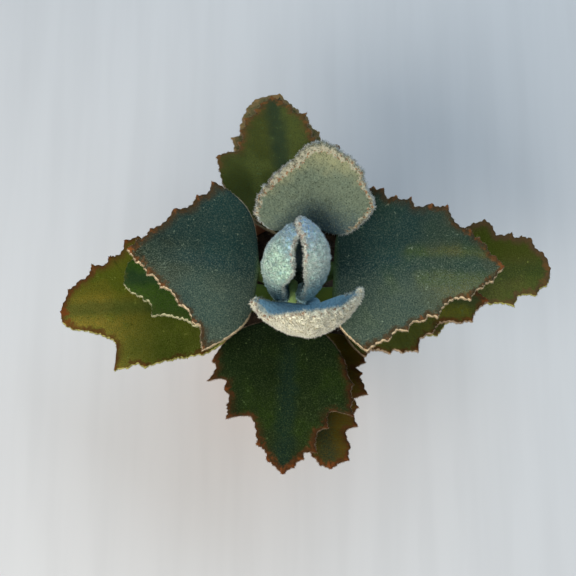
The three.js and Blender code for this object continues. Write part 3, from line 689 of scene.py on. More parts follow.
def grown_leaf_material(name, sheen):
    """Short-felted grown leaf: fine grey-green grain, brown teeth and a pale rolled rim, with painted light
    and shade.
    """
    colours = leaf_colours(name)
    made = Finish(name + "_skin", 0.8)
    edge, tooth, along, rib, under, front, bare, sunny = [made.attribute(key) for key in LEAF_ATTRIBUTES]
    cloud = made.grain(18, 2)
    patch = made.grain(4.5, 3)
    ragged = made.grain(1.3, 2)
    nap = made.grain(0.5, 2, 0.7)
    hairs = made.grain(0.32, 1)

    # The blade's own colours and felt grain, with painted shade near the stalk and on the half turned
    # from the warm light, and painted light as paler fleck on the half towards it
    beside_rib = made.times(
        made.fade(made.plus(rib, made.times(patch, 5.0)), 3.5, 9.0, 0.7, 0.0),
        made.fade(along, 0.55, 0.85, 1.0, colours["rib_at_tip"]))
    turned_away = made.times(made.fade(sunny, 0.0, colours["shade_reach"]), made.fade(along, 0.05, 0.4))
    # Felt grain, paler towards the warm side as painted light
    grain_and_painted_light = made.times(made.fade(nap, 0.45, 0.66), made.fade(sunny, 0.1, 0.9, 0.35, 0.85))
    frost = made.times(made.fade(ragged, 0.6, 0.72, 0.0, 0.8), made.fade(patch, 0.54, 0.64))
    colour = made.layered(
        colours["body"],
        (colours["tip"], made.fade(made.plus(along, made.times(cloud, 0.6)), 0.62, 1.1)),
        (colours["blotch"], made.fade(cloud, 0.46, 0.64, 0.0, 0.8)),
        (colours["rib"], beside_rib),
        # painted shade near the stalk and on the half turned from the warm light, then painted light: pale
        # fleck on the half towards it
        (colours["shade"], made.fade(turned_away, 0.0, 1.0, 0.8, 0.0)),
        (colours["fleck"], made.fade(sunny, 0.5, 1.0, 0.0, 0.3)),
        (colours["fleck"], grain_and_painted_light),
        (toned(colours["shade"], 0.6), made.fade(hairs, 0.36, 0.52, 0.7, 0.0)),
        (toned(colours["fleck"], 1.7), frost))

    # Brown teeth, with a darker blush behind them
    ripe = made.plus(made.times(tooth, 0.7), made.times(ragged, 0.9), made.times(along, 0.35))
    brown = made.mix(colours["edge_dark"], colours["edge"], made.fade(ripe, 0.85, 1.5))
    blushed = made.times(
        made.fade(made.plus(edge, made.times(patch, 4.0)), 2.2, 6.4, colours["blush"], 0.0),
        made.fade(front, 0.0, 0.4, 1.0, 0.0), made.fade(tooth, 0.05, 0.28))
    reach = made.plus(
        made.times(tooth, 2.1), made.fade(patch, 0.34, 0.66, 0.0, 1.8),
        made.fade(ragged, 0.3, 0.7, -0.5, 0.5), made.fade(along, 0.55, 1.0, 0.0, colours["ripe_tip"]))
    browned = made.times(
        made.fade(made.minus(edge, reach), -1.6, 0.6, 1.0, 0.0), made.fade(tooth, 0.05, 0.28, 0.0, 0.96),
        made.fade(nap, 0.35, 0.65, 1.0, 0.72))

    # Pale felt rim, with a painted highlight where the margin faces the warm light
    rim_reach = made.plus(
        made.times(made.most(front, 0.5), made.fade(ragged, 0.3, 0.7, 0.0, 0.34)), made.times(bare, 0.3))
    lit_rim = made.most(
        made.fade(front, 0.25, 0.7), made.times(bare, 0.6), made.fade(patch, 0.46, 0.56, 0.0, 0.42))
    rimmed = made.times(made.fade(made.minus(edge, rim_reach), 0.0, 0.12, 1.0, 0.0), lit_rim)

    # Lower face, with painted shade (the dark edge colour) at the margins that are turned away from the light
    spots = made.times(made.fade(tooth, 0.5, 0.9), made.fade(edge, 0.4, 2.2, 0.8, 0.0))
    below = made.layered(
        colours["under"],
        (colours["fleck"], made.fade(nap, 0.42, 0.7, 0.0, 0.5)),
        (colours["edge"], spots),
        (colours["rim"], made.fade(edge, 0.3, 1.6, 0.8, 0.0)))
    shown = made.most(made.fade(front, 0.15, 0.6), made.fade(under, 0.6, 0.85), made.times(bare, 0.8))
    colour = made.layered(
        colour,
        (colours["edge_dark"], blushed),
        (brown, browned),
        (colours["rim"], rimmed),
        (made.mix(colours["edge_dark"], below, shown), made.fade(under, 0.4, 0.6)),
        (STALK_GREEN, made.fade(along, -0.03, 0.05, 0.9, 0.0)))
    colour = strand_colour(made, colour, colours["edge_dark"], colours["rim"])
    return felted(made, colour, made.relief((cloud, 0.5), (nap, 0.2), (hairs, 0.08)), sheen, 0.06)


def young_leaf_material(name):
    """Thick felt: sage inside, bluish and dark near the stalk as painted shade, cream and lumpy outside with
    painted shade between the lumps, with brown dotted rims.
    """
    colours = leaf_colours(name)
    made = Finish(name + "_skin", 0.9)
    edge, along, under = [made.attribute(key) for key in ("edge", "along", "under")]
    side = made.place("X")
    towards_left = made.fade(side, 0.006, 0.024, 1.0, 0.0)
    patch = made.grain(4, 3)
    ragged = made.grain(1.6, 2)
    nap = made.grain(0.48, 2, 0.6)
    tufts = made.grain(1.4, 2)

    rise = made.plus(along, made.times(patch, 0.3), made.fade(side, -0.016, 0.0, 0.36, 0.0))
    rim_reach = made.plus(
        made.times(made.fade(along, 0.2, 0.7, 0.0, 1.7), towards_left), made.fade(ragged, 0.3, 0.7, 0.0, 0.9))
    from_rim = made.minus(edge, rim_reach)
    dots = made.times(
        made.fade(from_rim, -1.5, -0.2), made.fade(from_rim, 0.3, 1.1, 1.0, 0.0),
        made.fade(made.grain(1.1, 1), 0.53, 0.62, 0.0, 0.85))
    # Inner face: near-black painted shade deep in the stalk, bluish painted shade near it, then sage, paler
    # towards the tip and the left, partly painted light
    inner = made.layered(
        PAINTED_HOLLOW_SHADE,
        (colours["rib"], made.fade(along, -0.32, -0.21)),
        (colours["body"], made.fade(rise, 0.14, 0.62)),
        (colours["tip"], made.fade(rise, 0.75, 1.05)),
        (colours["fleck"], made.fade(nap, 0.5, 0.64, 0.0, 0.42)),
        (toned(colours["body"], 0.5), made.fade(nap, 0.34, 0.46, 0.5, 0.0)),
        (colours["rim"], made.fade(from_rim, -0.1, 1.0, 0.9, 0.0)),
        (colours["edge"], dots))
    spots = made.times(made.fade(edge, 0.2, 1.5, 0.9, 0.0), made.fade(ragged, 0.5, 0.58), towards_left)
    # Outer felt, with painted shade in the pits between the tufts
    outer = made.layered(
        colours["felt_root_and_pit_shade"],
        (colours["felt"], made.fade(tufts, 0.36, 0.52)),
        (colours["edge"], spots))
    colour = made.mix(inner, outer, made.fade(under, 0.32, 0.5))
    outside = made.fade(under, 0.15, 0.45)
    deep = made.mix(colours["body"], colours["felt_root_and_pit_shade"], outside)
    pale = made.mix(colours["fleck"], colours["felt_tip"], outside)
    colour = strand_colour(made, colour, deep, pale)
    return felted(made, colour, made.relief((tufts, 0.8), (nap, 0.25)), 0.04, 0.0)


def bud_leaf_material(name):
    """Dense mint felt outside, with painted cool light and painted shade; near-black painted shade inside,
    and a dotted rim along the slit.
    """
    colours = leaf_colours(name)
    made = Finish(name + "_skin", 0.9)
    edge, along, under, sunny = [made.attribute(key) for key in ("edge", "along", "under", "sunny")]
    ragged = made.grain(1.7, 2)
    nap = made.grain(0.7, 2, 0.6)
    tufts = made.grain(1.5, 2)

    above_base = made.fade(along, 0.12, 0.52)
    # Painted cool light: bluish felt on the side and top turned from the warm light
    lit = made.times(made.fade(sunny, 0.3, 0.62), made.fade(along, 0.7, 0.92, 1.0, 0.2))
    felt = made.mix(colours["felt_painted_cool_light"], colours["felt"], lit)
    # Painted shade in the pits between the tufts
    outer = made.mix(colours["felt_root_and_pit_shade"], felt, made.fade(tufts, 0.36, 0.5))
    # Painted shade: the darker bluish base colour towards the foot
    outer = made.mix(colours["base"], outer, above_base)
    # Inside, painted light lifts the near-black painted shade to the base colour in the stalk and by the foot
    # on the warm side
    neck = made.most(
        made.times(made.fade(along, 0.2, 0.36, 1.0, 0.0), made.fade(sunny, 0.54, 0.66)),
        made.fade(along, -0.02, 0.05, 1.0, 0.0))
    inner = made.mix(PAINTED_HOLLOW_SHADE, colours["base"], neck)
    outside = made.fade(under, 0.15, 0.35)
    dots = made.times(
        made.fade(edge, 0.6, 1.8, 0.85, 0.0), made.fade(ragged, 0.5, 0.6), made.fade(along, 0.45, 0.7),
        outside)
    colour = made.layered(
        inner,
        (outer, made.fade(under, 0.25, 0.45)),
        (colours["rim"], made.times(made.fade(edge, 0.3, 1.3, 0.9, 0.0), outside)),
        (colours["edge"], dots))
    deep = made.mix(colours["base"], colours["felt_root_and_pit_shade"], above_base)
    pale = made.mix(colours["base"], colours["felt_tip"], above_base)
    colour = strand_colour(made, colour, deep, pale)
    return felted(made, colour, made.relief((tufts, 0.7), (nap, 0.25)), 0.0, 0.0)


def strand_colour(made, colour, root, tip):
    """Strands go from a dark root, partly painted shade low in the felt, to a pale tip, each in its own tone;
    the skin keeps its colour.
    """
    strand = made.attribute("strand")
    tone = made.attribute("tone")
    hair = made.layered(
        made.mix(colour, root, 0.4),
        (made.mix(colour, tip, 0.5), made.fade(strand, 0.0, 0.5)),
        (tip, made.fade(tone, 0.7, 1.0, 0.0, 0.45)),
        (root, made.fade(tone, 0.02, 0.3, 0.3, 0.0)))
    return made.mix(colour, hair, made.fade(tone, 0.0, 0.02))


def felted(made, colour, relief, sheen, shine):
    """Felt is all but matt; shine is the level of the shader's own reflection."""
    return made.finish(
        colour, Normal=relief, Sheen_Weight=sheen, Sheen_Roughness=0.5, Sheen_Tint=(0.92, 0.97, 0.95),
        Specular_IOR_Level=shine)


def clay_material(settings):
    """Fired clay: fine grain, faint turning marks, lime bloom low down and on the rim, and wet clay inside,
    darkened near to black as painted shade.
    """
    made = Finish("terracotta", 0.88)
    level = made.place("Z")
    cloud = made.grain(22, 4, 0.6)
    speck = made.grain(0.6, 3)
    marks = made.grain(1.0, 2, 0.5, made.stretched((0.03, 0.03, 1.0)))

    low_bloom = made.fade(made.plus(level, made.times(cloud, 0.034)), 0.016, 0.044, 0.75, 0.0)
    rim_bloom = made.fade(made.plus(level, made.times(cloud, 0.016)), 0.077, 0.088, 0.0, 0.5)
    flattened = made.stretched((1.0, 1.0, 0.0))
    from_axis = made.node("ShaderNodeVectorMath", "Value", {0: flattened}, operation="LENGTH")
    draft = (pot_outer_radius(POT["height"]) - pot_outer_radius(0)) / POT["height"]
    inner_foot = pot_inner_radius(0) * MM
    inside = made.fade(
        made.minus(from_axis, made.times(level, draft)), inner_foot + 0.0008, inner_foot + 0.003, 0.92, 0.0)
    clay = tuple(settings.clay)
    bloom = tuple(settings.bloom)
    colour = made.layered(
        clay,
        (toned(clay, 0.62), made.fade(cloud, 0.35, 0.7, 0.0, 0.6)),
        (toned(clay, 1.35), made.fade(speck, 0.52, 0.7, 0.0, 0.5)),
        (bloom, made.times(low_bloom, made.fade(speck, 0.3, 0.6))),
        (bloom, made.times(rim_bloom, made.fade(cloud, 0.4, 0.62))),
        # painted shade: the inside of the pot near to black, over the wet clay's own darkening
        (tuple(settings.damp_and_shade), made.times(inside, made.fade(level, 0.001, 0.003))))
    return made.finish(
        colour, Normal=made.relief((marks, 0.22), (speck, 0.16)), Specular_IOR_Level=0.3,
        Roughness=made.fade(speck, 0.3, 0.7, 0.8, 0.95))


def soil_material():
    """Dark wet peat with paler fibres and grit."""
    made = Finish("soil", 0.95)
    lump = made.grain(3.5, 4, 0.65)
    crumb = made.grain(0.7, 3, 0.6)
    colour = made.layered(
        (0.022, 0.014, 0.009),
        ((0.075, 0.046, 0.028), made.fade(lump, 0.35, 0.7)),
        ((0.16, 0.11, 0.07), made.fade(crumb, 0.6, 0.72, 0.0, 0.7)))
    return made.finish(colour, Normal=made.relief((lump, 1.2), (crumb, 0.4)))


def grit_material():
    """White horticultural grit."""
    made = Finish("grit", 0.9)
    speck = made.grain(0.35, 3)
    colour = made.mix((0.66, 0.64, 0.60), (0.42, 0.39, 0.34), made.fade(speck, 0.4, 0.65))
    return made.finish(colour, Normal=made.relief((speck, 0.15)))


def stem_material():
    """Corky grey-brown stem that turns green and felted towards its tip; roots paler."""
    made = Finish("stem", 0.9)
    level = made.place("Z")
    cloud = made.grain(7, 3)
    bark = made.grain(1.2, 3, 0.6, made.stretched((1.0, 1.0, 0.35)))
    nap = made.grain(0.4, 2)
    colour = made.layered(
        (0.20, 0.15, 0.10),
        ((0.11, 0.075, 0.05), made.fade(bark, 0.4, 0.62)),
        ((0.30, 0.26, 0.19), made.fade(cloud, 0.5, 0.7, 0.0, 0.6)),
        ((0.22, 0.35, 0.10), made.fade(made.plus(level, made.times(cloud, 0.02)), 0.088, 0.118)),
        ((0.36, 0.27, 0.18), made.fade(level, 0.048, 0.058, 0.8, 0.0)))
    return made.finish(colour, Normal=made.relief((bark, 0.45), (nap, 0.12)), Sheen_Weight=0.15)


def floor_material(settings):
    """Plain pale floor with a very faint grain."""
    made = Finish("pale_floor", 0.6)
    streak = made.grain(14, 3, 0.5, made.stretched((1.0, 0.08, 1.0)))
    base = tuple(settings.floor)
    colour = made.mix(base, toned(base, 0.955), made.fade(streak, 0.35, 0.7))
    return made.finish(colour, Specular_IOR_Level=0.25)


# Pot and soil

def pot_outer_radius(z):
    return lerp(POT["foot_radius"], POT["rim_radius"] - POT["rim_step"], z / POT["height"])


def pot_inner_radius(z):
    return pot_outer_radius(z) - POT["wall"]


def turned(name, profile, sides):
    """Turns a closed profile of (radius, height) about the pot's axis by extruding and widening one ring."""
    deselect()
    radius, height = profile[0]
    bpy.ops.mesh.primitive_circle_add(vertices=sides, radius=radius * MM, location=at((0, 0, height)))
    obj = bpy.context.object
    obj.name = name
    bpy.ops.object.mode_set(mode="EDIT")
    bpy.ops.mesh.select_all(action="SELECT")
    for next_radius, next_height in profile[1:]:
        bpy.ops.mesh.extrude_region_move(
            TRANSFORM_OT_translate={"value": (0, 0, (next_height - height) * MM)})
        ratio = next_radius / radius
        bpy.ops.transform.resize(value=(ratio, ratio, 1), center_override=at((0, 0, next_height)))
        radius, height = next_radius, next_height
    bpy.ops.object.mode_set(mode="OBJECT")
    bpy.ops.object.transform_apply(location=True, rotation=True, scale=True)
    close_and_turn_out(obj)
    return obj


def make_pot(settings):
    lip = POT["lip"]
    band_foot = POT["height"] - POT["rim_height"]
    inner_foot = pot_inner_radius(POT["floor"] + lip)
    inner_top = pot_inner_radius(POT["height"] - lip)
    outer_rise = [(pot_outer_radius(z), z) for z in (14, 26, 38, 48, band_foot - 2)]
    inner_fall = [(pot_inner_radius(z), z) for z in (60, 46, 32, 18)]
    profile = [
        (POT["drain_radius"], 0), (POT["foot_radius"] - lip, 0), (POT["foot_radius"], lip),
        *outer_rise, (pot_outer_radius(band_foot), band_foot),
        (POT["rim_radius"] - POT["rim_draft"], band_foot + 0.5),
        (POT["rim_radius"] - 0.35, band_foot + 8), (POT["rim_radius"], POT["height"] - lip),
        (POT["rim_radius"] - lip, POT["height"]), (inner_top + lip, POT["height"]),
        (inner_top, POT["height"] - lip), *inner_fall, (inner_foot, POT["floor"] + lip),
        (inner_foot - lip, POT["floor"]), (POT["drain_radius"], POT["floor"]), (POT["drain_radius"], 0),
    ]
    pot = turned("pot_clay", profile, settings.sides)
    bevel = pot.modifiers.new("soft_edges", "BEVEL")
    bevel.width = settings.edge_radius
    bevel.segments = 3
    bevel.limit_method = "ANGLE"
    bevel.angle_limit = math.radians(25)
    roughen(pot, "hand_of_the_clay", 9, 0.28, 1)
    apply_all(pot)
    for vertex in pot.data.vertices:
        vertex.co.z = max(vertex.co.z, POT_LOW.z)
    shade_smooth(pot, 40)
    settle(pot, "pot_clay", clay_material(settings), "pot")


def soil_height(x, y):
    """Height of the soil in millimetres at a place in millimetres from the pot's axis."""
    reach = math.hypot(x, y) / (pot_inner_radius(SOIL["top"]) - SOIL["gap"])
    mound = SOIL["mound"] * (1 - smooth(reach, 0, 1))
    lumps = noise.noise(Vector((x, y, 3)) / 5) * 0.9 + noise.noise(Vector((x, y, 7)) / 1.7) * 0.45
    return SOIL["top"] + mound + (lumps - 0.5) * (1 - smooth(reach, 0.93, 1))


def make_soil(settings):
    low = POT["floor"] + SOIL["gap"]
    gap = SOIL["gap"]
    wall = [(pot_inner_radius(z) - gap, z) for z in (low + POT["lip"] + gap, 30, 50, SOIL["top"])]
    top_radius = wall[-1][0]
    top = [(top_radius * (1 - step / SOIL_RINGS), SOIL["top"]) for step in range(1, SOIL_RINGS)]
    foot = (wall[0][0] - POT["lip"] - gap, low)
    profile = [(SOIL_CENTRE, low), foot, *wall, *top, (SOIL_CENTRE, SOIL["top"])]
    soil = turned("soil_peat", profile, settings.sides)
    for vertex in soil.data.vertices:
        place = (vertex.co - POT_AXIS) / MM
        if place.z > SOIL["top"] - 0.01:
            vertex.co.z = soil_height(place.x, place.y) * MM
    shade_smooth(soil)
    cutter = stem_body("root_hollow", SOIL["gap"])
    hollow = soil.modifiers.new("root_hollow", "BOOLEAN")
    hollow.object = cutter
    hollow.operation = "DIFFERENCE"
    hollow.solver = "EXACT"
    apply_all(soil)
    bpy.data.objects.remove(cutter)
    soil = join([soil, crumb_cover(settings)])
    settle(soil, "soil_peat", soil_material(), "soil")


def one_crumb(seed):
    """An angular lump one metre across, which is scaled where it is used."""
    deselect()
    bpy.ops.mesh.primitive_ico_sphere_add(subdivisions=2, radius=0.5)
    crumb = bpy.context.object
    for vertex in crumb.data.vertices:
        vertex.co *= 1 + 0.55 * noise.noise(vertex.co * 2.2 + Vector((seed, 0, 0)))
    shade_smooth(crumb, 50)
    return crumb


def scattered(sources, count, size, spread, seed):
    """Copies of the source lumps lying on the soil, as one object; size in metres, spread in millimetres."""
    chance = random.Random(seed)
    stem = stem_centre(SOIL["top"])
    copies = []
    for _ in range(count):
        reach = spread * math.sqrt(chance.random())
        bearing = chance.uniform(0, 2 * math.pi)
        x = reach * math.cos(bearing)
        y = reach * math.sin(bearing)
        if math.hypot(x - stem.x, y - stem.y) < STEM["low_radius"] + STEM_CLEARANCE:
            continue
        source = chance.choice(sources)
        copy = source.copy()
        copy.data = source.data.copy()
        bpy.context.collection.objects.link(copy)
        width = size * chance.uniform(0.55, 1.5)
        turn = Matrix.Rotation(chance.uniform(0, 2 * math.pi), 4, "Z")
        turn = turn @ Matrix.Rotation(chance.uniform(0, math.pi), 4, "X")
        stretch = Matrix.Diagonal((width, width * chance.uniform(0.6, 1), width * 0.7, 1))
        place = at((x, y, soil_height(x, y))) + Vector((0, 0, width * 0.12))
        copy.data.transform(Matrix.Translation(place) @ turn @ stretch)
        copies.append(copy)
    for source in sources:
        bpy.data.objects.remove(source)
    return join(copies)


def crumb_cover(settings):
    sources = [one_crumb(seed) for seed in range(3)]
    return scattered(sources, settings.crumbs, settings.crumb_size, CRUMB_SPREAD, 11)


def make_grit(settings):
    sources = [one_crumb(seed + 10) for seed in range(3)]
    grit = scattered(sources, settings.crumbs // 9, settings.crumb_size * 0.9, CRUMB_SPREAD, 23)
    settle(grit, "soil_grit", grit_material())


# Stem and roots

def stem_fraction(z):
    return (z - STEM["low"][2]) / (STEM["high"][2] - STEM["low"][2])


def stem_centre(z):
    return Vector(STEM["low"]).lerp(Vector(STEM["high"]), stem_fraction(z))


def stem_direction():
    return (Vector(STEM["high"]) - Vector(STEM["low"])).normalized()


def stem_radius(z):
    closing = math.sqrt(min(max((STEM["high"][2] - z) / STEM["crown"], 0.12), 1))
    slimming = lerp(1, STEM["tip_share"], smooth(z, 100, 109))
    return lerp(STEM["low_radius"], STEM["high_radius"], stem_fraction(z)) * closing * slimming


def stem_girth(z):
    """Stem radius with a low ridge where each pair of leaves, grown or fallen, joins it."""
    ridges = [leaf["node"] - RIDGE_BELOW_NODE for leaf in LEAVES.values()] + [FALLEN_LEAF_RIDGE]
    ridge = max(bell(z - height, 1.3) for height in ridges)
    return stem_radius(z) + 0.35 * ridge * smooth(STEM["high"][2] - z, 3, 6)


def chord_at(points, index, reach):
    """From the point some places before to the one as many places after."""
    return points[min(index + reach, len(points) - 1)] - points[max(index - reach, 0)]


def rounded_end(t, start, least):
    """Share of the full radius where a body rounds off from start to its end at 1."""
    return math.sqrt(max(1 - max((t - start) / (1 - start), 0) ** 2, least))


def tube(name, stations, sides):
    """A closed round body through stations of (centre, radius), all in millimetres."""
    deselect()
    centres = [centre for centre, _ in stations]
    bpy.ops.mesh.primitive_grid_add(x_subdivisions=sides, y_subdivisions=len(stations) - 1, size=2)
    obj = bpy.context.object
    obj.name = name
    for index, vertex in enumerate(obj.data.vertices):
        row, side = divmod(index, sides + 1)
        centre, radius = stations[row]
        tangent = chord_at(centres, row, 1).normalized()
        across = Vector((1, 0.2, 0)).cross(tangent).normalized()
        other = tangent.cross(across)
        angle = 2 * math.pi * (side % sides) / sides
        vertex.co = at(centre + (across * math.cos(angle) + other * math.sin(angle)) * radius)
    close_and_turn_out(obj)
    return obj


def root_stations(bearing, swell):
    """A root's curve from inside the crown, out, and down to its end."""
    start = stem_centre(ROOTS["crown"])
    out = Vector((math.cos(math.radians(bearing)), math.sin(math.radians(bearing)), 0))
    bend = start + out * ROOTS["bend_reach"] - Vector((0, 0, ROOTS["bend_fall"]))
    end = start + out * ROOTS["reach"] - Vector((0, 0, ROOTS["fall"]))
    stations = []
    for step in range(13):
        t = step / 12
        place = start * (1 - t) ** 2 + bend * 2 * t * (1 - t) + end * t ** 2
        radius = lerp(ROOTS["radius"], ROOTS["end_radius"], t) * rounded_end(t, 0.94, 0.05) + swell
        stations.append((place, radius))
    return stations


def tip_stations(swell):
    """The green shoot that stands between the bud leaves."""
    low = Vector(GROWING_TIP["low"])
    high = Vector(GROWING_TIP["high"])
    stations = []
    for step in range(17):
        t = step / 16
        stations.append((low.lerp(high, t), GROWING_TIP["radius"] * rounded_end(t, 0.84, 0.04) + swell))
    return stations


def stem_body(name, swell):
    """Stem and roots grown into one skin, swollen by some millimetres."""
    top = STEM["high"][2]
    low = STEM["low"][2]
    heights = [lerp(low, top - 3, step / 54) for step in range(55)] + [top - 2, top - 1.2, top - 0.5, top]
    stations = [(stem_centre(z), stem_girth(z) + swell) for z in heights]
    pieces = [tube(name, stations, 28), tube("growing_tip", tip_stations(swell), 16)]
    pieces += [tube("root", root_stations(bearing, swell), 14) for bearing in ROOT_BEARINGS]
    body = join(pieces)
    remesh = body.modifiers.new("one_skin", "REMESH")
    remesh.mode = "VOXEL"
    remesh.voxel_size = SKIN_VOXEL * MM
    apply_all(body)
    body.name = name
    return body


def make_stem():
    stem = stem_body("stem_and_root_crown", 0)
    even = stem.modifiers.new("even", "SMOOTH")
    even.factor = 0.5
    even.iterations = 3
    roughen(stem, "corky_skin", 2.4, 0.35, 2)
    apply_all(stem)
    shade_smooth(stem)
    settle(stem, "stem_and_root_crown", stem_material(), "stem_and_roots")


# Leaves

class Leaf:
    """One leaf's surface: a stalk from the stem and a lobed blade, bent, folded and rippled."""

    def __init__(self, name, settings):
        self.name = name
        self.settings = settings
        for key, value in {**LEAF_DEFAULTS, **LEAVES[name]}.items():
            setattr(self, key, math.radians(value) if key in LEAF_ANGLES else value)
        self.young = name in BUD_LEAVES + YOUNG_LEAVES
        self.skin = YOUNG_SKIN if self.young else GROWN_SKIN
        self.length = self.left[-1][0]
        self.seed = list(LEAVES).index(name) * 17.3
        level = Vector((-math.sin(self.azimuth), math.cos(self.azimuth), 0))
        self.along = Vector((math.cos(self.azimuth), math.sin(self.azimuth), 0))
        self.across = level * math.cos(self.roll) + Vector((0, 0, 1)) * math.sin(self.roll)
        self.up = self.along.cross(self.across)

    def heading(self, pitch):
        """The way the blade runs where it has this pitch."""
        return self.along * math.cos(pitch) + self.up * math.sin(pitch)

    def blade_point(self, u, v, lift):
        """The place at u along and v across, lifted off the middle sheet, in millimetres."""
        turn = self.bend / self.length
        pitch = self.pitch + turn * u
        point = Vector(self.foot)
        point += self.along * ((math.sin(pitch) - math.sin(self.pitch)) / turn)
        point += self.up * ((math.cos(self.pitch) - math.cos(pitch)) / turn)
        normal = self.up * math.cos(pitch) - self.along * math.sin(pitch)
        slope = self.keel + self.cup * abs(v)
        sign = (v > 0) - (v < 0)
        tilt = self.keel * v / math.hypot(v, KEEL_SOFTNESS) + self.cup * v
        height, wave, phase = self.wave
        ripple = height * (v / 20) ** 2 * math.sin(2 * math.pi * u / wave + math.radians(phase) + sign)
        point += self.across * (sign * (math.sin(slope) - math.sin(self.keel)) / self.cup)
        point += normal * ((math.cos(self.keel) - math.cos(slope)) / self.cup)
        point += normal * ((lift + ripple) * math.cos(tilt))
        return point - self.across * ((lift + ripple) * math.sin(tilt))

    def margin_line(self, corners):
        """One half of the margin in short steps: each point, and how much of a tooth it is."""
        places = [Vector((0, self.stalk * BLADE_FOOT_WIDTH))]
        places += [Vector((u, max(v, TIP_HALF_WIDTH))) for u, v, _ in corners]
        points = [places[0]]
        tips = []
        for number, (_, _, sag) in enumerate(corners, 1):
            start, end = places[number - 1:number + 1]
            chord = end - start
            inward = Vector((chord.y, -chord.x)).normalized()
            count = max(2, round(chord.length / MARGIN_STEP))
            for step in range(1, count + 1):
                t = step / count
                points.append(start.lerp(end, t) + inward * (sag * math.sin(math.pi * t)))
            # A corner that turns towards the midrib is a tooth
            turn = chord.angle_signed(places[number + 1] - end) if number < len(corners) else math.pi / 2
            tips.append((len(points) - 1, smooth(turn, 0.2, 1.0)))
        runs = run_lengths(points)
        first_tip = runs[tips[0][0]]
        strengths = []
        for run in runs:
            near = max(strength * bell(run - runs[tip], TOOTH_REACH) for tip, strength in tips)
            strengths.append(lerp(BETWEEN_TEETH, 1, near) * smooth(run, first_tip * 0.72, first_tip * 0.98))
        return points, strengths, first_tip

    def small_teeth(self, points, first_tip):
        """The margin with small uneven teeth, fewest where it runs along a side vein."""
        spacing = self.settings.tooth_spacing / MM * self.skin["tooth_spacing"]
        height = self.settings.tooth_height / MM * self.skin["tooth_height"]
        runs = run_lengths(points)
        phase = 0.0
        made = []
        for index, point in enumerate(points):
            tangent = chord_at(points, index, 2).normalized()
            unevenness = noise.noise(Vector((runs[index] / 7, self.seed, 0)))
            if index:
                phase += (runs[index] - runs[index - 1]) / (spacing * (1 + 0.9 * unevenness))
            bump = math.sin(math.pi * (phase % 1) ** 1.5) - 0.5
            across_veins = 1 if self.young else smooth(tangent.x - VEIN_SLANT * tangent.y, 0.35, 0.9)
            size = height * smooth(runs[index], first_tip * 0.5, first_tip * 0.85) * across_veins
            if self.name in BUD_LEAVES:
                size *= BUD_TOOTH_SHARE
            size *= 0.6 + 0.9 * abs(unevenness)
            moved = point + Vector((-tangent.y, tangent.x)) * (size * bump)
            made.append(Vector((moved.x, max(moved.y, TIP_HALF_WIDTH * 0.9))))
        return made

    def progress(self, points, first_tip):
        """How far each point has come: 0 to 1 up to the first tooth, then on to 2 at the leaf's tip."""
        runs = run_lengths(points)
        rest = runs[-1] - first_tip
        veins = []
        for point, run in zip(points, runs):
            vein = point.x - VEIN_SLANT * point.y
            veins.append(vein if run <= first_tip or not veins else max(vein, veins[-1]))
        first_vein = next(vein for vein, run in zip(veins, runs) if run >= first_tip - MARGIN_STEP / 2)
        made = []
        for vein, run in zip(veins, runs):
            if run < first_tip:
                made.append(run / first_tip)
            else:
                vein_share = max(vein - first_vein, 0) / (veins[-1] - first_vein)
                made.append(1 + 0.5 * (run - first_tip) / rest + 0.5 * vein_share)
        return made

    def row_margins(self):
        """Both halves of the margin, cut into the same number of rows."""
        halves = []
        for corners in (self.left, self.right):
            points, strengths, first_tip = self.margin_line(corners)
            toothed = self.small_teeth(points, first_tip)
            halves.append((points, toothed, strengths, self.progress(points, first_tip), first_tip))
        step = self.settings.row_step / MM
        base_rows = round(max(half[4] for half in halves) / step)
        rows = round(max(run_lengths(half[0])[-1] - half[4] for half in halves) / step)
        wanted = [row / base_rows for row in range(base_rows)] + [1 + row / rows for row in range(rows + 1)]
        return halves, [resampled(half[:3], half[3], wanted) for half in halves]

    def midrib_places(self, left, right):
        """Where each row leaves the midrib, always moving towards the tip."""
        places = [0.0]
        for (one, _, _), (other, _, _) in zip(left[1:], right[1:]):
            wanted = (one.x + other.x - VEIN_SLANT * (one.y + other.y)) / 2
            places.append(max(wanted, places[-1] + 0.03))
        places[-1] = self.length
        reach = self.length / max(places)
        return [place * min(reach, 1) for place in places]

    def margin_tree(self, halves):
        """Finds the nearest margin point to a place on the blade, and what that point is like."""
        entries = []
        for side, (_, toothed, strengths, _, first_tip) in zip((1, -1), halves):
            runs = run_lengths(toothed)
            for index, point in enumerate(toothed):
                chord = chord_at(toothed, index, 3)
                outward = Vector((-chord.y, chord.x)).normalized()
                world = self.along * outward.x + self.across * (side * outward.y)
                bare = 1 - smooth(runs[index], first_tip * 0.6, first_tip * 0.9)
                front = smooth(-world.y, 0.0, 0.8) * lerp(0.25, 1, abs(self.along.x))
                entries.append((point.x, side * point.y, strengths[index], front, bare))
        tree = kdtree.KDTree(len(entries))
        for index, entry in enumerate(entries):
            tree.insert((entry[0], entry[1], 0), index)
        tree.balance()
        return tree, entries

    def half_thickness(self, u, fraction):
        """Half the thickness at u along and a fraction across, and at the midrib there."""
        full = lerp(self.thick / 2, self.stalk, 0.8 * math.exp(-max(u, 0) / STALK_FADE))
        edge = self.thick * self.skin["edge"]
        return edge + (full - edge) * math.sqrt(1 - 0.94 * fraction ** 2), full

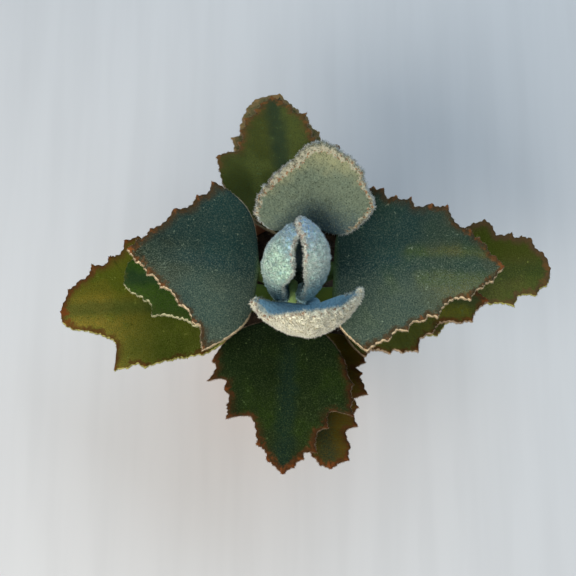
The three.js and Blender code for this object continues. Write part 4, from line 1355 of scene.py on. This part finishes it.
    def relief(self, place, u, v, fraction, sheet):
        """Softened midrib, side veins and unevenness, in millimetres off the plain sheet."""
        rib = self.settings.rib_depth / MM
        vein = self.settings.vein_depth / MM
        spacing = self.skin["veins"]
        between = (place / spacing) % 1 - 0.5
        along_vein = bell(between * spacing, 1.2) * smooth(fraction, 0.05, 0.2)
        along_vein *= 1 - smooth(fraction, 0.6, 0.92)
        channel = bell(v, 2.6) * (1 - smooth(u / self.length, 0.7, 1))
        soft_keel = math.tan(self.keel) * (math.hypot(v, KEEL_SOFTNESS) - abs(v))
        spot = Vector((u, v, self.seed + sheet * 2))
        uneven = 0.45 * noise.noise(spot / 11) + 0.2 * noise.noise(spot / 4.5)
        if self.young:
            tuft = self.settings.tuft_depth / MM * (1 if sheet < 0 else 0.35)
            uneven *= 0.5
            uneven += tuft * (noise.noise(spot / 1.5) + 0.6 * noise.noise(spot / 0.7))
        if sheet > 0:
            return uneven + soft_keel - rib * channel - vein * along_vein
        return uneven + soft_keel - 1.6 * rib * channel - 1.5 * vein * along_vein

    def ring_places(self):
        """Left margin, over the top to the right margin, and back below: (side, fraction, sheet)."""
        half = self.settings.young_columns if self.young else self.settings.columns
        places = []
        for j in range(4 * half + 1):
            k = half - j if j <= 2 * half else j - 3 * half
            fraction = 0.5 - 0.5 * math.cos(math.pi * abs(k) / half)
            places.append((1 if k >= 0 else -1, fraction, 1 if j <= 2 * half else -1))
        return places

    def blade_rows(self):
        """Rings of a place and its LEAF_ATTRIBUTES, from the blade's foot to its tip."""
        halves, (left, right) = self.row_margins()
        midrib = self.midrib_places(left, right)
        tree, margin = self.margin_tree(halves)
        ring = self.ring_places()
        rows = []
        for row, place in enumerate(midrib):
            made = []
            for side, fraction, sheet in ring:
                _, edge_point, _ = left[row] if side > 0 else right[row]
                u = lerp(place, edge_point.x, fraction)
                v = side * fraction * edge_point.y
                _, nearest, inside = tree.find((u, v, 0))
                _, _, tooth, front, bare = margin[nearest]
                if fraction == 1:
                    inside = 0
                flat, full = self.half_thickness(u, fraction)
                rim_radius = min(self.half_thickness(u, 1)[0], 0.9 * edge_point.y)
                rim = math.sqrt(max(1 - (1 - min(inside / rim_radius, 1)) ** 2, 0))
                blade_share = smooth(u, 0, 8)
                oval = half_oval(fraction)
                height = lerp(full * oval, flat * rim, blade_share)
                lift = sheet * height + self.relief(place, u, v, fraction, sheet) * blade_share * rim
                curl = 0.7 * noise.noise(Vector((u / 6, side * 9, self.seed))) * bell(inside, 3)
                point = self.blade_point(u, v, lift + curl * blade_share)
                roundness = lerp(oval, rim, blade_share)
                made.append((
                    point, inside + 3 * (1 - smooth(u, -2, 3)), tooth, u / self.length, abs(v),
                    0.5 - 0.5 * sheet * roundness, front, bare, smooth(-self.across.y * v, -16, 16)))
            rows.append(made)
        return rows

    def tip_rows(self, last):
        """Two smaller rings that round off the leaf's tip."""
        middle = sum((entry[0] for entry in last), Vector()) / len(last)
        ahead = self.heading(self.pitch + self.bend)
        rows = []
        for size, push in ((0.72, 0.35), (0.3, 0.55)):
            rows.append([(middle + (entry[0] - middle) * size + ahead * push, *entry[1:]) for entry in last])
        return rows

    def stalk_rows(self):
        """Rings of the stalk from the stem to the blade's foot."""
        foot = Vector(self.foot)
        centre = stem_centre(self.node)
        direction = stem_direction()
        out = foot - centre
        out = (out - direction * out.dot(direction)).normalized()
        start = centre + out * (stem_radius(self.node - self.stalk) - 0.1)
        span = (foot - start).length
        leave = start + out * (span * 0.4) + Vector((0, 0, span * 0.12))
        arrive = foot - self.heading(self.pitch) * (span * 0.36)
        ring = self.ring_places()
        rows = []
        for row in range(STALK_ROWS):
            t = row / STALK_ROWS
            place = (start * (1 - t) ** 3 + leave * 3 * t * (1 - t) ** 2
                     + arrive * 3 * t * t * (1 - t) + foot * t ** 3)
            tangent = ((leave - start) * (1 - t) ** 2 + (arrive - leave) * 2 * t * (1 - t)
                       + (foot - arrive) * t * t).normalized()
            side_way = direction.cross(out).lerp(self.across, t).normalized()
            normal = tangent.cross(side_way).normalized()
            width = self.stalk * lerp(1.12, BLADE_FOOT_WIDTH, t)
            hollow = 0.16 * self.stalk * smooth(t, 0.15, 0.8)
            made = []
            for side, fraction, sheet in ring:
                oval = half_oval(fraction)
                lift = self.stalk * 0.92 * oval * sheet
                if sheet > 0:
                    lift -= hollow * bell(fraction, 0.45) * (1 - smooth(t, 0.8, 1))
                point = place + side_way * (side * fraction * width) + normal * lift
                made.append((
                    point, FAR_FROM_MARGIN, 0.0, (t - 1) * 0.4, abs(fraction * width),
                    0.5 - 0.5 * sheet * oval, 0.0, 1.0, smooth(-self.across.y * side * fraction, -1, 1)))
            rows.append(made)
        return rows

    def mesh_object(self):
        """The leaf's skin: a grid wrapped round the leaf, sewn along one margin and closed at both ends."""
        rows = self.stalk_rows() + self.blade_rows()
        rows += self.tip_rows(rows[-1])
        deselect()
        ring_size = len(rows[0])
        bpy.ops.mesh.primitive_grid_add(x_subdivisions=ring_size - 1, y_subdivisions=len(rows) - 1, size=2)
        obj = bpy.context.object
        entries = [entry for row in rows for entry in row]
        obj.data.vertices.foreach_set("co", [c for entry in entries for c in at(entry[0])])
        for number, name in enumerate(LEAF_ATTRIBUTES, 1):
            add_attribute(obj, name, [entry[number] for entry in entries])
        add_attribute(obj, "felt", [self.felt_at(entry) for entry in entries])
        obj.data.update()
        close_and_turn_out(obj)
        shade_smooth(obj)
        return obj

    def felt_at(self, entry):
        """How dense the standing felt is: all over a young leaf, along the margin of a grown one."""
        _, edge, _, along, _, under, front, _, _ = entry
        if self.name in BUD_LEAVES:
            outside = smooth(under, 0.3, 0.55)
            rim = 0.8 * bell(edge, 0.6)
            stalk = 0.7 * (1 - smooth(along, -0.02, 0.05))
            return max(rim, outside, stalk) * lerp(0.7, 1, smooth(along, -0.3, 0))
        if self.young:
            rim = 0.6 * bell(max(edge - 0.3, 0), 0.7)
            inside = 0.1 * smooth(along, 0.0, 0.2)
            return max(rim, inside, smooth(under, 0.3, 0.6) * smooth(along, -0.1, 0.1))
        return bell(edge, 0.5) * smooth(under, 0.05, 0.4) * lerp(0.12, 1, front)


def run_lengths(points):
    """Distance along a line of points, at each of them."""
    runs = [0.0]
    for before, after in zip(points, points[1:]):
        runs.append(runs[-1] + (after - before).length)
    return runs


def resampled(lists, progress, wanted):
    """Values of several lists where their shared progress reaches each wanted amount."""
    made = []
    index = 0
    for amount in wanted:
        while index < len(progress) - 2 and progress[index + 1] < amount:
            index += 1
        span = max(progress[index + 1] - progress[index], 1e-9)
        t = min(max((amount - progress[index]) / span, 0), 1)
        made.append([lerp(values[index], values[index + 1], t) for values in lists])
    return made


def felt_strands(name, material, per_area, length, radius, seed):
    """A node group that plants short leaning strands where the felt attribute asks for them."""
    group = bpy.data.node_groups.new(name, "GeometryNodeTree")
    for way in ("INPUT", "OUTPUT"):
        group.interface.new_socket("Leaf", in_out=way, socket_type="NodeSocketGeometry")

    def node(kind, output, inputs, **settings):
        return add_node(group, kind, inputs, **settings).outputs[output]

    # Density: the felt attribute, gathered into clumps
    leaf = node("NodeGroupInput", 0, {})
    felt = node("GeometryNodeInputNamedAttribute", "Attribute", {"Name": "felt"}, data_type="FLOAT")
    clumps = node("ShaderNodeTexNoise", 0, {"Scale": 1 / (CLUMP_SIZE * MM), "Detail": 1})
    gathered = node(
        "ShaderNodeMapRange", "Result",
        {"Value": clumps, "From Min": 0.38, "From Max": 0.58, "To Min": 0.15, "To Max": 1.6})
    clumped = node("ShaderNodeMath", 0, {0: felt, 1: gathered}, operation="MULTIPLY")
    density = node("ShaderNodeMath", 0, {0: clumped, 1: per_area}, operation="MULTIPLY")
    scatter = add_node(
        group, "GeometryNodeDistributePointsOnFaces", {"Mesh": leaf, "Density": density, "Seed": seed})

    # One strand, which knows how far each of its points is from the root
    cone = node(
        "GeometryNodeMeshCone", "Mesh",
        {"Vertices": 3, "Radius Top": 0, "Radius Bottom": radius, "Depth": length})
    height = node("ShaderNodeSeparateXYZ", "Z", {0: node("GeometryNodeInputPosition", 0, {})})
    share = node("ShaderNodeMath", 0, {0: height, 1: length}, operation="DIVIDE")
    strand = node(
        "GeometryNodeStoreNamedAttribute", "Geometry",
        {"Geometry": cone, "Name": "strand", "Value": share}, data_type="FLOAT")

    # Strands in their own tones, leaning every way and uneven in size
    chance = node("FunctionNodeRandomValue", 1, {2: 0.02, 3: 1.0, "Seed": 5}, data_type="FLOAT")
    roots = node(
        "GeometryNodeStoreNamedAttribute", "Geometry",
        {"Geometry": scatter.outputs["Points"], "Name": "tone", "Value": chance}, data_type="FLOAT")
    most = Vector((0.65, 0.65, 3.1))
    lean = node("FunctionNodeRandomValue", 0, {0: -most, 1: most}, data_type="FLOAT_VECTOR")
    turn = node("FunctionNodeEulerToRotation", 0, {0: lean})
    tilt = node(
        "FunctionNodeRotateRotation", 0, {0: scatter.outputs["Rotation"], 1: turn}, rotation_space="LOCAL")
    size = node("FunctionNodeRandomValue", 1, {2: 0.55, 3: 1.25}, data_type="FLOAT")
    planted = node(
        "GeometryNodeInstanceOnPoints", "Instances",
        {"Points": roots, "Instance": strand, "Rotation": tilt, "Scale": size})
    real = node("GeometryNodeRealizeInstances", "Geometry", {"Geometry": planted})
    soft = node("GeometryNodeSetShadeSmooth", "Geometry", {"Geometry": real})
    dressed = node("GeometryNodeSetMaterial", "Geometry", {"Geometry": soft, "Material": material})
    both = add_node(group, "GeometryNodeJoinGeometry", {0: leaf})
    feed(group, both.inputs[0], dressed)
    add_node(group, "NodeGroupOutput", {0: both.outputs[0]})
    return group


def felt_area(obj):
    """Area in square metres, weighted by the felt attribute."""
    felt = obj.data.attributes["felt"].data
    total = 0
    for face in obj.data.polygons:
        total += face.area * sum(felt[index].value for index in face.vertices) / len(face.vertices)
    return total


def add_fangs(leaf, obj):
    """Soft curved fangs under a grown blade, all of one shape."""
    shares = [step / 7 for step in range(8)]
    stations = [(t, 1.5 * (1 - t) ** 0.7 * (1 - 0.25 * t) + 0.12) for t in shares]
    widest = max(v for _, v, _ in leaf.left)
    fangs = [obj]
    for number, (along, across) in enumerate(FANG_PLACES):
        u = along * leaf.length
        v = across * widest
        half = leaf.half_thickness(u, abs(across))[0]
        root = leaf.blade_point(u, v, 0.7 - half)
        end = leaf.blade_point(u + FANG_LEAN, v, -half - FANG_LENGTH)
        places = [(root.lerp(end, t) + leaf.along * (0.5 * t * t), radius) for t, radius in stations]
        fang = tube("fang", places, 12)
        values = {"edge": FAR_FROM_MARGIN, "along": along, "rib": 6.0, "under": 0.9, "front": 1.0}
        for name, value in values.items():
            add_attribute(fang, name, [value] * len(fang.data.vertices))
        shade_smooth(fang)
        fangs.append(fang)
    return join(fangs)


def make_leaf(name, settings, material, strands, length_share=1, radius_share=1):
    """One finished leaf with its felt, whose strands are a share of the felt in the settings."""
    leaf = Leaf(name, settings)
    obj = leaf.mesh_object()
    if name in GROWN_LEAVES:
        obj = add_fangs(leaf, obj)
    felt = obj.modifiers.new("felt", "NODES")
    felt.node_group = felt_strands(
        name + "_felt", material, strands / felt_area(obj), settings.felt_length * length_share,
        settings.felt_radius * radius_share, list(LEAVES).index(name) + 1)
    obj.data.materials.append(material)
    apply_all(obj)
    settle(obj, name + "_blade", material, name)


# Stage

FLOOR_SIZE = 2.4
FLOOR_LEVEL = -0.0002
ROSETTE = (-4, -11.7, 118)
SKY_COLOUR = (0.84, 0.92, 1.0, 1)


def make_stage(settings):
    deselect()
    bpy.ops.mesh.primitive_plane_add(size=FLOOR_SIZE, location=(0, 0, FLOOR_LEVEL))
    floor = bpy.context.object
    bpy.ops.object.transform_apply(location=True, rotation=True, scale=True)
    floor.name = "floor"
    floor.data.materials.append(floor_material(settings))

    scene = bpy.context.scene
    scene.view_settings.view_transform = "Standard"
    world = bpy.data.worlds.new("even_light")
    world.use_nodes = True
    sky = world.node_tree.nodes["Background"]
    sky.inputs["Color"].default_value = SKY_COLOUR
    sky.inputs["Strength"].default_value = settings.sky
    scene.world = world

    target = at(ROSETTE)
    add_light("cool_back", (0.32, 0.50, 0.60), target, 0.8, settings.cool_power, settings.cool)
    add_light("warm_front", (-0.33, -0.49, 0.46), target, 0.6, settings.warm_power, settings.warm)

    toward = Vector((0, -math.cos(settings.elevation), math.sin(settings.elevation)))
    camera_data = bpy.data.cameras.new("camera")
    camera_data.sensor_width = 36
    camera_data.lens = settings.lens
    camera_data.clip_start = 0.01
    camera = bpy.data.objects.new("camera", camera_data)
    scene.collection.objects.link(camera)
    camera.location = target + toward * settings.distance
    camera.rotation_euler = (math.pi / 2 - settings.elevation, 0, 0)
    scene.camera = camera


def add_light(name, offset, target, size, power, colour):
    """A square soft light aimed at the rosette; offset in metres from it."""
    deselect()
    bpy.ops.object.light_add(type="AREA", location=target + Vector(offset))
    light = bpy.context.object
    light.name = name
    light.data.size = size
    light.data.energy = power
    light.data.color = colour
    light.rotation_euler = Vector(offset).to_track_quat("Z", "Y").to_euler()


# Operators, one for each piece or group of like pieces

class KALANCHOE_OT_pot(bpy.types.Operator):
    """Turn the clay pot, round its edges and finish it"""

    bl_idname = "kalanchoe.pot"
    bl_label = "Clay pot"

    def execute(self, context):
        make_pot(context.scene.kalanchoe_pot)
        return {"FINISHED"}


class KALANCHOE_OT_soil(bpy.types.Operator):
    """Fill the pot with peat, crumbs and grit"""

    bl_idname = "kalanchoe.soil"
    bl_label = "Soil"

    def execute(self, context):
        make_soil(context.scene.kalanchoe_pot)
        make_grit(context.scene.kalanchoe_pot)
        return {"FINISHED"}


class KALANCHOE_OT_stem(bpy.types.Operator):
    """Grow the stem and its roots as one skin"""

    bl_idname = "kalanchoe.stem"
    bl_label = "Stem and roots"

    def execute(self, context):
        make_stem()
        return {"FINISHED"}


class KALANCHOE_OT_bud_leaves(bpy.types.Operator):
    """Model the closed pair at the top of the stem, all felt"""

    bl_idname = "kalanchoe.bud_leaves"
    bl_label = "Bud leaves"

    def execute(self, context):
        settings = context.scene.kalanchoe_leaves
        for name in BUD_LEAVES:
            make_leaf(name, settings, bud_leaf_material(name), settings.young_strands, 0.85)
        return {"FINISHED"}


class KALANCHOE_OT_young_leaves(bpy.types.Operator):
    """Model the young cupped pair with its thick felted rims"""

    bl_idname = "kalanchoe.young_leaves"
    bl_label = "Young leaves"

    def execute(self, context):
        settings = context.scene.kalanchoe_leaves
        for name in YOUNG_LEAVES:
            make_leaf(name, settings, young_leaf_material(name), settings.young_strands)
        return {"FINISHED"}


class KALANCHOE_OT_grown_leaves(bpy.types.Operator):
    """Model the grown leaves with their brown teeth, pale rims and fangs"""

    bl_idname = "kalanchoe.grown_leaves"
    bl_label = "Grown leaves"

    def execute(self, context):
        settings = context.scene.kalanchoe_leaves
        for name in GROWN_LEAVES:
            material = grown_leaf_material(name, 0.05 if leaf_slot(name) == "leaf_large" else 0.02)
            make_leaf(name, settings, material, settings.rim_strands, 0.5, 0.55)
        return {"FINISHED"}


class KALANCHOE_OT_stage(bpy.types.Operator):
    """Lay the floor and set the lights and the camera"""

    bl_idname = "kalanchoe.stage"
    bl_label = "Stage"

    def execute(self, context):
        make_stage(context.scene.kalanchoe_stage)
        return {"FINISHED"}


OPERATORS = (
    KALANCHOE_OT_stage, KALANCHOE_OT_pot, KALANCHOE_OT_soil, KALANCHOE_OT_stem,
    KALANCHOE_OT_bud_leaves, KALANCHOE_OT_young_leaves, KALANCHOE_OT_grown_leaves,
)


class KALANCHOE_PT_panel(bpy.types.Panel):
    """Lists the settings and the steps in their order"""

    bl_label = "Potted kalanchoe"
    bl_idname = "KALANCHOE_PT_panel"
    bl_space_type = "VIEW_3D"
    bl_region_type = "UI"
    bl_category = "Kalanchoe"

    def draw(self, context):
        for name in ("kalanchoe_pot", "kalanchoe_leaves", "kalanchoe_stage"):
            settings = getattr(context.scene, name)
            box = self.layout.box()
            for key in settings.__annotations__:
                box.prop(settings, key)
        for operator in OPERATORS:
            self.layout.operator(operator.bl_idname)


CLASSES = (PotSettings, LeafSettings, StageSettings, *OPERATORS, KALANCHOE_PT_panel)


def register():
    for cls in CLASSES:
        bpy.utils.register_class(cls)
    bpy.types.Scene.kalanchoe_pot = PointerProperty(type=PotSettings)
    bpy.types.Scene.kalanchoe_leaves = PointerProperty(type=LeafSettings)
    bpy.types.Scene.kalanchoe_stage = PointerProperty(type=StageSettings)


def unregister():
    del bpy.types.Scene.kalanchoe_stage
    del bpy.types.Scene.kalanchoe_leaves
    del bpy.types.Scene.kalanchoe_pot
    for cls in reversed(CLASSES):
        bpy.utils.unregister_class(cls)


def main():
    register()
    bpy.ops.kalanchoe.stage()
    bpy.ops.kalanchoe.pot()
    bpy.ops.kalanchoe.soil()
    bpy.ops.kalanchoe.stem()
    bpy.ops.kalanchoe.bud_leaves()
    bpy.ops.kalanchoe.young_leaves()
    bpy.ops.kalanchoe.grown_leaves()


if __name__ == "__main__":
    main()
